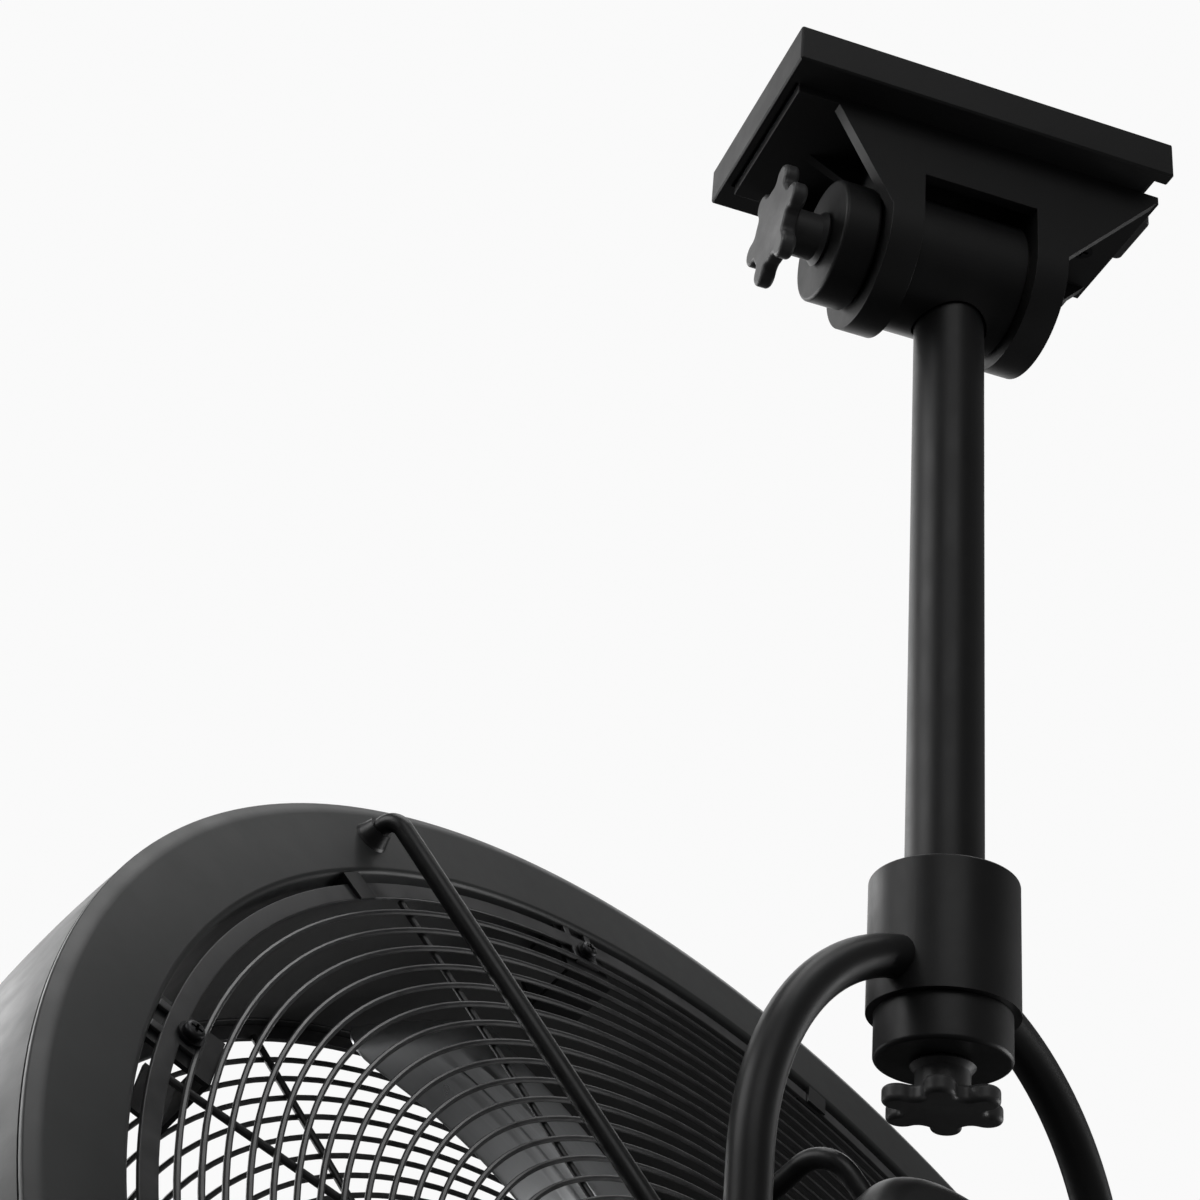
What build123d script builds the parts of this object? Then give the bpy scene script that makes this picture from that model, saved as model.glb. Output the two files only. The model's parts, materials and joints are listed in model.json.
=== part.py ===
from build123d import *
from math import asin, cos, pi, radians, sin, sqrt
import os

# Garage ceiling fan. Millimetres, +Z up. The origin is on the ceiling face of the plate, on the
# drop pole's axis. The fan head is drawn in a frame of its own: +Z is the drum's axis towards the
# rear guard, +X is the tilt axis and the origin is where the tilt axis meets the pole's axis.
# head() puts a head piece in its place.

# Clearances
FACE_GAP = 0.3
SLIP = 0.05
SEAT = 0.02

# Ceiling plate
PLATE_LENGTH = 169.2
PLATE_WIDTH = 97.2
PLATE_THICK = 17.8
PLATE_SHIFT_X = -4.5
PLATE_SHIFT_Y = 1.6
PLATE_EDGE_ROUND = 1.5
SLOT_WIDTH = 1.7
SLOT_DEPTH = 3.0
CEILING_HOLE_R = 3.5
CEILING_HOLE_SPACING = 129.0
CEILING_HOLE_Y = -3.5
CEILING_SINK_R = 6.5
CEILING_SINK_DEPTH = 3.0
SIDE_STEP_DEPTH = 7.0
SIDE_STEP_FRONT = 6.0
SIDE_STEP_HEIGHT = 9.8

# Side latch
LATCH_LENGTH = 27.0
LATCH_REACH = 6.5
LATCH_DEPTH = 12.5
LATCH_HEIGHT = 7.6
LATCH_Y = -3.5
LATCH_TRAVEL = 3.0
LATCH_ROUND = 2.5
SPRING_POCKET = 6.0

# Knuckle bracket
FLANGE_THICK = 4.0
FLANGE_LEFT = -83.7
FLANGE_RIGHT = 80.7
FLANGE_BACK = 36.2
BARREL_DROP = 65.3
EAR_R = 32.9
EAR_LEFT_OUT = -40.8
EAR_LEFT_IN = -26.9
EAR_RIGHT_IN = 23.5
EAR_RIGHT_OUT = 37.6
WEB_THICK = 5.0
WEB_LEFT = -65.7
WEB_RIGHT = 79.3
WINDOW_TOP = 44.9
WEB_CORNER_R = 2.0
GUSSET_THICK = 4.0
GUSSET_REACH = 24.0
LOCK_SCREW_X = 66.9
LOCK_SCREW_Y = 7.3
MARK_X = 64.5
MARK_Y = -1.0
MARK_R = 3.6
MARK_DEPTH = 1.2
SCREW_HEAD_R = 4.4
SCREW_HEAD_H = 2.6
SCREW_R = 2.2
SCREW_LENGTH = 14.0
CROSS_SPAN = 5.6
CROSS_WIDTH = 1.3
CROSS_DEPTH = 1.4

# Tilt knuckle
BARREL_R = 28.0
MOUTH_GAP = 1.0
MOUTH_DROP = 22.5
BOLT_R = 5.0
BOLT_HEAD_R = 9.0
BOLT_HEAD_H = 7.0
WASHER_R = 13.0
WASHER_THICK = 1.6
FRICTION_R = 24.0
FRICTION_THICK = 1.2
CAP_R = 25.6
CAP_LENGTH = 16.6
CAP_ROUND = 1.6
CAP_STEP_R = 20.0
CAP_STEP_THICK = 1.0

# Star knobs
STAR_LOBES = 6
STAR_LOBE_PITCH_R = 16.7
TILT_STAR_PITCH_R = 20.2
TILT_STAR_TURN = 30.0
STAR_LOBE_R = 5.5
STAR_CORE_STEP = 2.1
STAR_THICK = 6.4
STAR_ROUND = 1.8
STAR_VALLEY_R = 3.0
NECK_R = 9.6
NECK_LENGTH = 16.3
NECK_FOOT_R = 11.4
NECK_FOOT_THICK = 2.0
INSERT_R = 6.5
INSERT_DEPTH = 8.0
SWIVEL_NECK_LENGTH = 11.2

# Drop pole and swivel
POLE_R = 14.3
POLE_WALL = 2.6
POLE_TOP_DROP = 7.6
COLLAR_TOP = 341.5
COLLAR_LENGTH = 49.6
COLLAR_R = 26.9
COLLAR_ROUND = 1.2
COLLAR_ROOF = 9.0
COLLAR_CAVITY_R = 20.0
BUSH_WALL = 2.0
BUSH_RECESS = 0.8
BUSH_FLANGE_R = 18.0
BUSH_FLANGE_THICK = 1.5
END_PLUG_LENGTH = 14.0
END_FLANGE_R = 18.6
END_FLANGE_THICK = 4.0
LOWER_CAP_R = 24.1
LOWER_CAP_LENGTH = 17.3
LOWER_CAP_ROUND = 1.6
CAP_SPIGOT = 5.0
CROSS_PIN_R = 3.0
CROSS_PIN_DROP = 16.0

# Yoke tube
YOKE_R = 96.0
YOKE_TUBE_R = 7.5
YOKE_TUBE_WALL = 1.8
YOKE_FOOT = 16.0
STUD_R = 4.0
PLUG_LIP = 2.5
PLUG_DEPTH = 6.5

# Fan head placement
PIVOT_DROP = 522.1
HEAD_TURN = 26.6
HEAD_TILT = 28.7

# Drum
DRUM_R = 305.0
DRUM_CROWN = 2.4
DRUM_WALL = 2.0
BEZEL_FACE = -59.9
DRUM_DEPTH = 94.6
RIM_BAND = 34.5
BEZEL_WALL = 2.0
BEZEL_SKIRT = 8.0
OUTER_SKIRT = 3.0
RIM_GROOVE = 0.6
BEZEL_OUTER_ROUND = 1.6
BEZEL_INNER_ROUND = 2.4
LINER_GAP = 1.0
LINER_WALL = 1.5

# Guards
RING_WIDTH = 2.2
REAR_RING_GAP = 6.4
REAR_RING_PITCH = 8.55
FRONT_RING_GAP = 9.4
FRONT_RING_PITCH = 9.0
SPOKE_WIDTH = 2.4
SPOKE_COUNT = 8
SPOKE_ANGLE = 114.3
REAR_GUARD_Z = -60.9
FRONT_GUARD_Z = -149.2
REAR_BAND_GAP = 4.0
REAR_BAND_WIDTH = 7.1
FRONT_BAND_GAP = 0.3
FRONT_BAND_WIDTH = 6.6
REAR_CENTRE_R = 76.0
REAR_CENTRE_HOLE_R = 22.0
FRONT_CENTRE_R = 50.0
STATION_COUNT = 6
STATION_ANGLE = 90.6
STATION_GAP = 64.0
TAB_WIDTH = 13.0
TAB_REACH = 7.9
LUG_WIDTH = 3.4
LUG_SPACING = 11.9
LUG_GAP = 0.3
BUTTON_R = 3.75
BUTTON_H = 2.6
BUTTON_ROUND = 1.4
BUTTON_WASHER_R = 4.8
BUTTON_WASHER_THICK = 0.9
BUTTON_INSET = 8.9
BUTTON_SHANK_R = 1.8
BUTTON_SHANK = 10.0
CLIP_WIDTH = 9.6
CLIP_THICK = 1.0
CLIP_REACH = 8.1
CLIP_DROP = 8.0
BRACKET_WIDTH = 24.0
BRACKET_DROP = 24.0
BRACKET_SHEET = 1.6
BRACKET_REACH = 25.5
BRACKET_FOOT = 14.0
FRONT_CLIP_WIDTH = 14.0
FRONT_CLIP_REACH = 8.5
FRONT_SCREW_INSET = 3.4

# Support rods
ROD_R = 3.7
ROD_ANGLE = 114.3
ROD_COUNT = 4
ROD_FOOT_INSET = 17.5
ROD_RISE = 13.4
ROD_LEG_R = 86.7
ROD_TOP = 20.0
ROD_FOOT_BEND = 7.3
ROD_LEG_BEND = 13.0
ROD_INSERT = 2.5
ROD_THREAD = 8.0
ROD_NUT_R = 6.8
ROD_NUT_H = 5.0
FERRULE_R = 7.2
FERRULE_TOP_R = 4.9
FERRULE_H = 6.0

# Motor
MOTOR_R = 64.5
MOTOR_WALL = 3.0
MOTOR_FRONT = -50.0
MOTOR_REAR = 27.2
REAR_COVER_RISE = 10.0
REAR_COVER_ROUND = 9.4
COVER_WALL = 2.4
COVER_SPIGOT = 5.0
END_PLATE_THICK = 3.9
BOSS_R = 14.0
BOSS_END = 84.0
STATOR_BORE_R = 37.6
STATOR_FRONT = -36.0
STATOR_REAR = -6.0
STATOR_SLOTS = 16
STATOR_SLOT_WIDTH = 4.0
STATOR_SLOT_R = 52.0
WINDING_R = 54.0
WINDING_INNER_R = 41.0
WINDING_RISE = 8.0
ROTOR_R = 37.0
SHAFT_R = 6.0
SHAFT_REAR = 18.0
BEARING_R = 16.0
BEARING_WIDTH = 10.0
BEARING_RACE = 3.4
BALL_R = 2.2
BALL_COUNT = 8
BALL_GAP = 0.06
SEAT_WALL = 3.0
MOTOR_SCREW_COUNT = 4
MOTOR_SCREW_ANGLE = 69.3
MOTOR_SCREW_R = 1.8
MOTOR_SCREW_HEAD_R = 3.4
MOTOR_SCREW_HEAD_H = 2.0
MOTOR_SCREW_LENGTH = 5.2
CAPACITOR_R = 9.0
CAPACITOR_LENGTH = 36.0
CAPACITOR_Y = 40.0
SWITCH_SIZE = 17.0
SWITCH_Y = -38.0
SWITCH_STEM_R = 3.0
SWITCH_STEM = 9.0
DIAL_R = 10.5
DIAL_H = 9.0
DIAL_ROUND = 1.5
DIAL_RIB = 2.4
DIAL_RIB_H = 3.0
GLAND_R = 9.0
GLAND_LENGTH = 15.0
GLAND_BORE_R = 4.0
GLAND_THREAD_R = 6.0
GLAND_Z = 6.0

# Yoke pivots
PIVOT_THREAD = 16.0
SPACER_R = 12.0
SADDLE_R = 11.0
SADDLE_THICK = 3.0
SIDE_NECK_LENGTH = 6.0

# Fan rotor and blades
BLADE_COUNT = 4
BLADE_THICK = 1.8
BLADE_CAMBER = 3.5
BLADE_ROOT_R = 44.0
BLADE_TIP_GAP = 15.5
BLADE_ROOT_CHORD = 40.0
BLADE_FULL_CHORD = 78.0
BLADE_TIP_CHORD = 60.0
BLADE_ROOT_ANGLE = 60.2
BLADE_SWEEP = 43.6
BLADE_TIP_ANGLE = 99.8
BLADE_MID_Z = -120.5
BLADE_RAKE = 21.0
BLADE_STATION_SHARES = (0.0, 0.25, 0.5, 0.7, 0.83, 0.93)
HUB_R = 48.0
HUB_REAR = -100.0
HUB_FRONT = -138.0
HUB_WALL = 3.5
HUB_BOSS_R = 15.0
HUB_ROUND = 3.0
HUB_NUT_R = 9.0
HUB_NUT_H = 6.0
SHAFT_THREAD_R = 5.0
SHAFT_THREAD = 7.0

# Values worked out from the sizes above
flange_top = -PLATE_THICK
flange_bottom = flange_top - FLANGE_THICK
web_front = -EAR_R
screw_tip = flange_bottom + SCREW_LENGTH
latch_inner = PLATE_SHIFT_X + PLATE_LENGTH / 2 + LATCH_REACH - LATCH_DEPTH
latch_low = flange_top + FACE_GAP
barrel_z = -BARREL_DROP
plate_right = PLATE_SHIFT_X + PLATE_LENGTH / 2
plate_front = PLATE_SHIFT_Y - PLATE_WIDTH / 2
cap_outer = EAR_LEFT_OUT - FACE_GAP - CAP_LENGTH
collar_bottom = -COLLAR_TOP - COLLAR_LENGTH
lower_cap_bottom = collar_bottom - LOWER_CAP_LENGTH
roof_bottom = -COLLAR_TOP - COLLAR_ROOF
end_flange_top = roof_bottom - BUSH_FLANGE_THICK - FACE_GAP
end_flange_bottom = end_flange_top - END_FLANGE_THICK
yoke_centre_z = collar_bottom + COLLAR_LENGTH / 3 - YOKE_R
drum_front = BEZEL_FACE - DRUM_DEPTH
opening_r = DRUM_R - RIM_BAND
liner_r = opening_r + LINER_GAP
rear_band_r = opening_r - REAR_BAND_GAP
rear_band_inner_r = rear_band_r - REAR_BAND_WIDTH
rear_ring_r = rear_band_inner_r - REAR_RING_GAP
front_band_r = opening_r - FRONT_BAND_GAP
front_band_inner_r = front_band_r - FRONT_BAND_WIDTH
front_ring_r = front_band_inner_r - FRONT_RING_GAP
tab_inner_r = rear_band_inner_r - TAB_REACH
lug_r = opening_r - LUG_GAP
button_pitch_r = rear_band_r - BUTTON_INSET
clip_inner_r = rear_band_r - CLIP_REACH
bracket_inner_r = opening_r - BRACKET_REACH
front_clip_inner_r = opening_r - FRONT_CLIP_REACH
front_screw_r = front_band_r - FRONT_SCREW_INSET
rod_foot_r = DRUM_R - ROD_FOOT_INSET
station_step = (360 - STATION_GAP) / (STATION_COUNT - 1)
blade_tip_r = opening_r - BLADE_TIP_GAP
cover_top = MOTOR_REAR + REAR_COVER_RISE
rod_run_z = BEZEL_FACE + ROD_RISE
spigot_r = MOTOR_R - MOTOR_WALL - SEAT
cover_ceiling = cover_top - COVER_WALL
plate_bottom = MOTOR_FRONT - END_PLATE_THICK
arm_outer = YOKE_R + YOKE_TUBE_R
arm_inner = YOKE_R - YOKE_TUBE_R
rear_guard_back = REAR_GUARD_Z - RING_WIDTH
front_guard_back = FRONT_GUARD_Z - RING_WIDTH
wide = 1000.0


def cyl(radius, z0, z1):
    return Pos(0, 0, (z0 + z1) / 2) * Cylinder(radius, abs(z1 - z0))


def ring(outer, inner, z0, z1):
    return cyl(outer, z0, z1) - cyl(inner, min(z0, z1) - 1, max(z0, z1) + 1)


def block(x0, x1, y0, y1, z0, z1):
    return Pos((x0 + x1) / 2, (y0 + y1) / 2, (z0 + z1) / 2) * Box(x1 - x0, y1 - y0, z1 - z0)


def turned(points):
    """A solid of revolution about Z from radius and height pairs."""
    return revolve(make_face(Polyline([(r, 0, z) for r, z in points], close=True)), Axis.Z)


def along_x(shape):
    """Lays a shape that was drawn about Z along X, its +Z end to +X."""
    return Rot(0, 90, 0) * shape


def around(shape, count, start=0.0):
    """Copies of a shape, evenly spaced about Z."""
    return [Rot(0, 0, start + 360 * k / count) * shape for k in range(count)]


def at_stations(shape):
    """Copies of a shape at the guards' screws. Their first gap is a little wider than the others."""
    turns = [STATION_GAP + k * station_step for k in range(STATION_COUNT - 1)]
    return [Rot(0, 0, STATION_ANGLE + turn) * shape for turn in [0, *turns]]


def cut_all(shape, tools):
    for tool in tools:
        shape = shape - tool
    return shape


def group(shapes):
    solids = []
    for shape in shapes:
        solids.extend(shape.solids())
    return Compound(solids)


turn_x = (cos(radians(HEAD_TURN)), sin(radians(HEAD_TURN)), 0)
turn_z = (
    sin(radians(HEAD_TURN)) * cos(radians(HEAD_TILT)),
    -cos(radians(HEAD_TURN)) * cos(radians(HEAD_TILT)),
    sin(radians(HEAD_TILT)),
)
head_place = Plane(origin=(0, 0, -PIVOT_DROP), x_dir=turn_x, z_dir=turn_z).location
yoke_place = Rot(0, 0, HEAD_TURN)


def head(shape):
    return head_place * shape


# Ceiling plate, latch and bracket


def ceiling_plate():
    plate = Pos(PLATE_SHIFT_X, PLATE_SHIFT_Y, -PLATE_THICK / 2) * Box(PLATE_LENGTH, PLATE_WIDTH, PLATE_THICK)
    plate = chamfer(plate.edges(), PLATE_EDGE_ROUND / 2)
    step = block(
        plate_right - SIDE_STEP_DEPTH,
        plate_right + 1,
        plate_front + SIDE_STEP_FRONT,
        PLATE_SHIFT_Y + PLATE_WIDTH / 2 - SIDE_STEP_FRONT,
        flange_top - 1,
        flange_top + SIDE_STEP_HEIGHT,
    )
    sink_top = flange_top + CEILING_SINK_DEPTH
    hole = turned([
        (0, 1),
        (CEILING_HOLE_R, 1),
        (CEILING_HOLE_R, sink_top),
        (CEILING_SINK_R, flange_top),
        (CEILING_SINK_R, flange_top - 1),
        (0, flange_top - 1),
    ])
    holes = [Pos(s * CEILING_HOLE_SPACING / 2, CEILING_HOLE_Y, 0) * hole for s in (-1, 1)]
    thread = Pos(LOCK_SCREW_X, LOCK_SCREW_Y, 0) * cyl(SCREW_R + SEAT, flange_top - 1, screw_tip)
    slot_top = flange_top + SLOT_DEPTH
    slot = block(FLANGE_LEFT - SLOT_WIDTH, FLANGE_LEFT, web_front, FLANGE_BACK, flange_top - 1, slot_top)
    return cut_all(plate, [step, latch_pocket(), thread, slot] + holes)


def latch_box(x0, x1, gap):
    half = LATCH_LENGTH / 2 + gap
    return block(x0, x1, LATCH_Y - half, LATCH_Y + half, latch_low - gap, latch_low + LATCH_HEIGHT + gap)


def latch_pocket():
    return latch_box(latch_inner - SPRING_POCKET, plate_right + 1, FACE_GAP)


def latch_button():
    button = latch_box(latch_inner, plate_right + LATCH_REACH, 0)
    outer = button.edges().filter_by(Axis.Z).group_by(Axis.X)[-1]
    return fillet(outer, LATCH_ROUND)


def ear(x0, x1):
    low = block(x0, x1, -EAR_R, EAR_R, barrel_z, flange_bottom)
    return low + Pos(0, 0, barrel_z) * along_x(cyl(EAR_R, x0, x1))


def knuckle_bracket():
    flange = block(FLANGE_LEFT, FLANGE_RIGHT, web_front, FLANGE_BACK, flange_bottom, flange_top)
    outline = Polyline(
        (WEB_LEFT, web_front, flange_bottom),
        (WEB_RIGHT, web_front, flange_bottom),
        (EAR_RIGHT_OUT, web_front, barrel_z),
        (EAR_RIGHT_IN, web_front, barrel_z),
        (EAR_RIGHT_IN, web_front, -WINDOW_TOP),
        (EAR_LEFT_IN, web_front, -WINDOW_TOP),
        (EAR_LEFT_IN, web_front, barrel_z),
        (EAR_LEFT_OUT, web_front, barrel_z),
        close=True,
    )
    web = extrude(make_face(outline), WEB_THICK, dir=(0, 1, 0))
    back_web = mirror(web, Plane.XZ)
    body = flange + web + back_web + ear(EAR_LEFT_OUT, EAR_LEFT_IN) + ear(EAR_RIGHT_IN, EAR_RIGHT_OUT)
    gusset = Polyline(
        (EAR_LEFT_OUT, 0, flange_bottom),
        (EAR_LEFT_OUT - GUSSET_REACH, 0, flange_bottom),
        (EAR_LEFT_OUT, 0, flange_bottom - GUSSET_REACH / 2),
        close=True,
    )
    body = body + extrude(make_face(gusset), GUSSET_THICK, dir=(0, 1, 0))
    bore = Pos(0, 0, barrel_z) * along_x(cyl(BOLT_R + SLIP, EAR_LEFT_OUT - 1, EAR_RIGHT_OUT + 1))
    mark = Pos(MARK_X, MARK_Y, flange_bottom - 1) * extrude(RegularPolygon(MARK_R, 3), MARK_DEPTH + 1)
    sink = Pos(LOCK_SCREW_X, LOCK_SCREW_Y, 0) * screw_shape(SEAT)
    return cut_all(body, [bore, mark, sink])


def screw_shape(gap):
    """A countersunk screw, head down, its head flush with the flange's underside."""
    return turned([
        (0, flange_bottom),
        (SCREW_HEAD_R + gap, flange_bottom),
        (SCREW_R + gap, flange_bottom + SCREW_HEAD_H),
        (SCREW_R + gap, screw_tip),
        (0, screw_tip),
    ])


def cross_recess(z0, z1):
    bar = block(-CROSS_SPAN / 2, CROSS_SPAN / 2, -CROSS_WIDTH / 2, CROSS_WIDTH / 2, z0, z1)
    return bar + Rot(0, 0, 90) * bar


def lock_screw():
    """Holds the bracket on the ceiling plate."""
    screw = screw_shape(0) - cross_recess(flange_bottom - 1, flange_bottom + CROSS_DEPTH)
    return Pos(LOCK_SCREW_X, LOCK_SCREW_Y, 0) * screw


# Tilt knuckle


def on_tilt_axis(shape):
    return Pos(0, 0, barrel_z) * along_x(shape)


def barrel_ends():
    gap = FRICTION_THICK + 2 * FACE_GAP
    return EAR_LEFT_IN + gap, EAR_RIGHT_IN - gap


def tilt_barrel():
    x0, x1 = barrel_ends()
    barrel = on_tilt_axis(cyl(BARREL_R, x0, x1) - cyl(BOLT_R + SLIP, x0 - 1, x1 + 1))
    socket = cyl(POLE_R + SEAT, barrel_z - POLE_TOP_DROP, barrel_z - BARREL_R - 1)
    mouth = cyl(POLE_R + MOUTH_GAP, barrel_z - MOUTH_DROP, barrel_z - BARREL_R - 1)
    return barrel - socket - mouth - cross_pin_shape(SEAT)


def cross_pin_shape(gap):
    """A pin put in from behind. Its front end stays inside the barrel."""
    back = sqrt(BARREL_R**2 - (CROSS_PIN_DROP + CROSS_PIN_R) ** 2) - 0.5
    pin = cyl(CROSS_PIN_R + gap, -back - 60 * gap, POLE_R + 2 + gap)
    return Pos(0, 0, barrel_z - CROSS_PIN_DROP) * Rot(90, 0, 0) * pin


def cross_pin():
    return cross_pin_shape(0)


def friction_washers():
    x0, x1 = barrel_ends()
    left = on_tilt_axis(ring(FRICTION_R, BOLT_R + SLIP, x0 - FACE_GAP - FRICTION_THICK, x0 - FACE_GAP))
    right = on_tilt_axis(ring(FRICTION_R, BOLT_R + SLIP, x1 + FACE_GAP, x1 + FACE_GAP + FRICTION_THICK))
    return group([left, right])


def tilt_bolt():
    seat = EAR_RIGHT_OUT + WASHER_THICK
    shank = cyl(BOLT_R, cap_outer - NECK_LENGTH, seat)
    bolt_head = Pos(0, 0, seat) * extrude(RegularPolygon(BOLT_HEAD_R, 6), BOLT_HEAD_H)
    return on_tilt_axis(shank + bolt_head)


def tilt_bolt_washer():
    return on_tilt_axis(ring(WASHER_R, BOLT_R + SLIP, EAR_RIGHT_OUT, EAR_RIGHT_OUT + WASHER_THICK))


def clamp_cap():
    inner = EAR_LEFT_OUT - FACE_GAP
    cap = cyl(CAP_R, cap_outer, inner - CAP_STEP_THICK)
    cap = fillet(cap.edges(), CAP_ROUND)
    cap = cap + cyl(CAP_STEP_R, cap_outer + CAP_LENGTH / 2, inner)
    return on_tilt_axis(cap - cyl(BOLT_R + SLIP, cap_outer - 1, inner + 1))


# Star knobs, drawn about Z with the seat of the neck at zero and the star below it


def star_outline(pitch_r):
    arm = Rectangle(pitch_r, 2 * STAR_LOBE_R, align=(Align.MIN, Align.CENTER))
    lobe = arm + Pos(pitch_r, 0) * Circle(STAR_LOBE_R)
    outline = Sketch() + Circle(pitch_r - STAR_CORE_STEP) + around(lobe, STAR_LOBES)
    corners = [v for v in outline.vertices() if sqrt(v.X**2 + v.Y**2) < pitch_r - 0.2]
    return fillet(corners, STAR_VALLEY_R)


def star_knob(neck_length, bore_depth, pitch_r=STAR_LOBE_PITCH_R):
    star = extrude(star_outline(pitch_r), -STAR_THICK)
    rims = star.faces().filter_by(Axis.Z).edges()
    star = Pos(0, 0, -neck_length) * fillet(rims, STAR_ROUND)
    foot = turned([
        (0, 0),
        (NECK_FOOT_R - 1, 0),
        (NECK_FOOT_R, -1),
        (NECK_R, -NECK_FOOT_THICK - 1),
        (NECK_R, -neck_length - 1),
        (0, -neck_length - 1),
    ])
    return star + foot - cyl(INSERT_R + SEAT, 1, -bore_depth)


def tilt_knob_place(shape):
    """Puts a shape with its seat at zero and its body below against the clamp cap."""
    return Pos(cap_outer - FACE_GAP, 0, barrel_z) * along_x(shape)


def tilt_knob():
    knob = star_knob(NECK_LENGTH, NECK_LENGTH + INSERT_DEPTH / 2, TILT_STAR_PITCH_R)
    return tilt_knob_place(Rot(0, 0, TILT_STAR_TURN) * knob)


def tilt_knob_insert():
    depth = NECK_LENGTH + INSERT_DEPTH / 2
    insert = cyl(INSERT_R, -FACE_GAP, -depth) - cyl(BOLT_R + SLIP, 1, -NECK_LENGTH - SLIP)
    return tilt_knob_place(insert)


# Drop pole and swivel


def drop_pole():
    pole = ring(POLE_R, POLE_R - POLE_WALL, barrel_z - POLE_TOP_DROP - SEAT, end_flange_top)
    return pole - cross_pin_shape(SEAT)


def pole_end_plug():
    """Closes the pole's foot, and its flange carries the collar."""
    plug = cyl(POLE_R - POLE_WALL - SEAT, end_flange_top + END_PLUG_LENGTH, end_flange_top)
    return plug + cyl(END_FLANGE_R, end_flange_top, end_flange_bottom)


def swivel_bush():
    outer = POLE_R + SLIP + BUSH_WALL
    sleeve = cyl(outer, -COLLAR_TOP - BUSH_RECESS, roof_bottom)
    flange = cyl(BUSH_FLANGE_R, roof_bottom, roof_bottom - BUSH_FLANGE_THICK)
    return sleeve + flange - cyl(POLE_R + SLIP, -COLLAR_TOP + 1, roof_bottom - BUSH_FLANGE_THICK - 1)


def swivel_collar():
    collar = cyl(COLLAR_R, -COLLAR_TOP, collar_bottom)
    collar = fillet(collar.edges().group_by(Axis.Z)[-1], COLLAR_ROUND)
    cavity = cyl(COLLAR_CAVITY_R, roof_bottom, collar_bottom - 1)
    bore = cyl(POLE_R + SLIP + BUSH_WALL + SEAT, -COLLAR_TOP + 1, roof_bottom - 1)
    return cut_all(collar, [cavity, bore, yoke_place * yoke_path_solid(YOKE_TUBE_R + SEAT)])


def collar_cap():
    cap = cyl(LOWER_CAP_R, collar_bottom, lower_cap_bottom)
    cap = fillet(cap.edges().group_by(Axis.Z)[0], LOWER_CAP_ROUND)
    cap = cap + cyl(COLLAR_CAVITY_R - SEAT, collar_bottom, collar_bottom + CAP_SPIGOT)
    return cap - cyl(STUD_R + SLIP, lower_cap_bottom - 1, collar_bottom + CAP_SPIGOT + 1)


def swivel_knob_place(shape):
    return Pos(0, 0, lower_cap_bottom - FACE_GAP) * shape


def swivel_knob():
    return swivel_knob_place(star_knob(SWIVEL_NECK_LENGTH, SWIVEL_NECK_LENGTH + INSERT_DEPTH / 2))


def swivel_stud():
    """The clamp screw. Its tip presses the flange at the foot of the pole."""
    foot = lower_cap_bottom - FACE_GAP - SWIVEL_NECK_LENGTH - INSERT_DEPTH / 2
    stud = cyl(STUD_R, end_flange_bottom - FACE_GAP, foot)
    return stud + cyl(INSERT_R, lower_cap_bottom - 2 * FACE_GAP, foot)


# Yoke, drawn in the plane XZ


def yoke_path_solid(radius):
    foot = -PIVOT_DROP - YOKE_FOOT
    bow = Pos(0, 0, yoke_centre_z) * Plane.XZ.location * CenterArc((0, 0), YOKE_R, 0, 180)
    tube = sweep(Plane(origin=bow @ 0, z_dir=bow % 0) * Circle(radius), path=bow)
    legs = [Pos(s * YOKE_R, 0, 0) * cyl(radius, yoke_centre_z, foot) for s in (-1, 1)]
    return tube + legs


def yoke_tube():
    tube = yoke_path_solid(YOKE_TUBE_R) - yoke_path_solid(YOKE_TUBE_R - YOKE_TUBE_WALL)
    across = Pos(0, 0, -PIVOT_DROP) * along_x(cyl(STUD_R + SLIP, -wide, wide))
    tube = tube - across - cyl(STUD_R + SLIP, yoke_centre_z, 0)
    return yoke_place * tube


def yoke_end_plugs():
    foot = -PIVOT_DROP - YOKE_FOOT
    plug = cyl(YOKE_TUBE_R, foot, foot - PLUG_LIP)
    plug = fillet(plug.edges().group_by(Axis.Z)[0], PLUG_LIP * 0.8)
    plug = plug + cyl(YOKE_TUBE_R - YOKE_TUBE_WALL - SEAT, foot, foot + PLUG_DEPTH)
    return yoke_place * group([Pos(s * YOKE_R, 0, 0) * plug for s in (-1, 1)])


# Drum, drawn in the head's frame


def rim(face, inward):
    """A flat ring, rolled over at both edges and hollow behind. inward points into the drum."""
    back = face + inward * BEZEL_SKIRT
    body = ring(DRUM_R, opening_r, face, back)
    body = fillet(rim_edges(body, face, DRUM_R), BEZEL_OUTER_ROUND)
    body = fillet(rim_edges(body, face, opening_r), BEZEL_INNER_ROUND)
    inside = face + inward * BEZEL_WALL
    body = body - ring(DRUM_R - BEZEL_WALL, opening_r + BEZEL_WALL, inside, back + inward)
    return body - ring(DRUM_R + 1, DRUM_R - BEZEL_WALL - 1, face + inward * OUTER_SKIRT, back + inward)


def rim_edges(body, height, radius):
    """The round edges of a body at one height and radius."""
    found = body.edges().filter_by(GeomType.CIRCLE)
    return [e for e in found if abs(e.arc_center.Z - height) < SEAT and abs(e.radius - radius) < SEAT]


def rear_bezel():
    hole = Pos(rod_foot_r, 0, 0) * cyl(ROD_R + SEAT, BEZEL_FACE + 1, BEZEL_FACE - BEZEL_WALL - 1)
    return cut_all(rim(BEZEL_FACE, -1), around(hole, ROD_COUNT, ROD_ANGLE))


def front_bezel():
    return rim(drum_front, 1)


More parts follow.
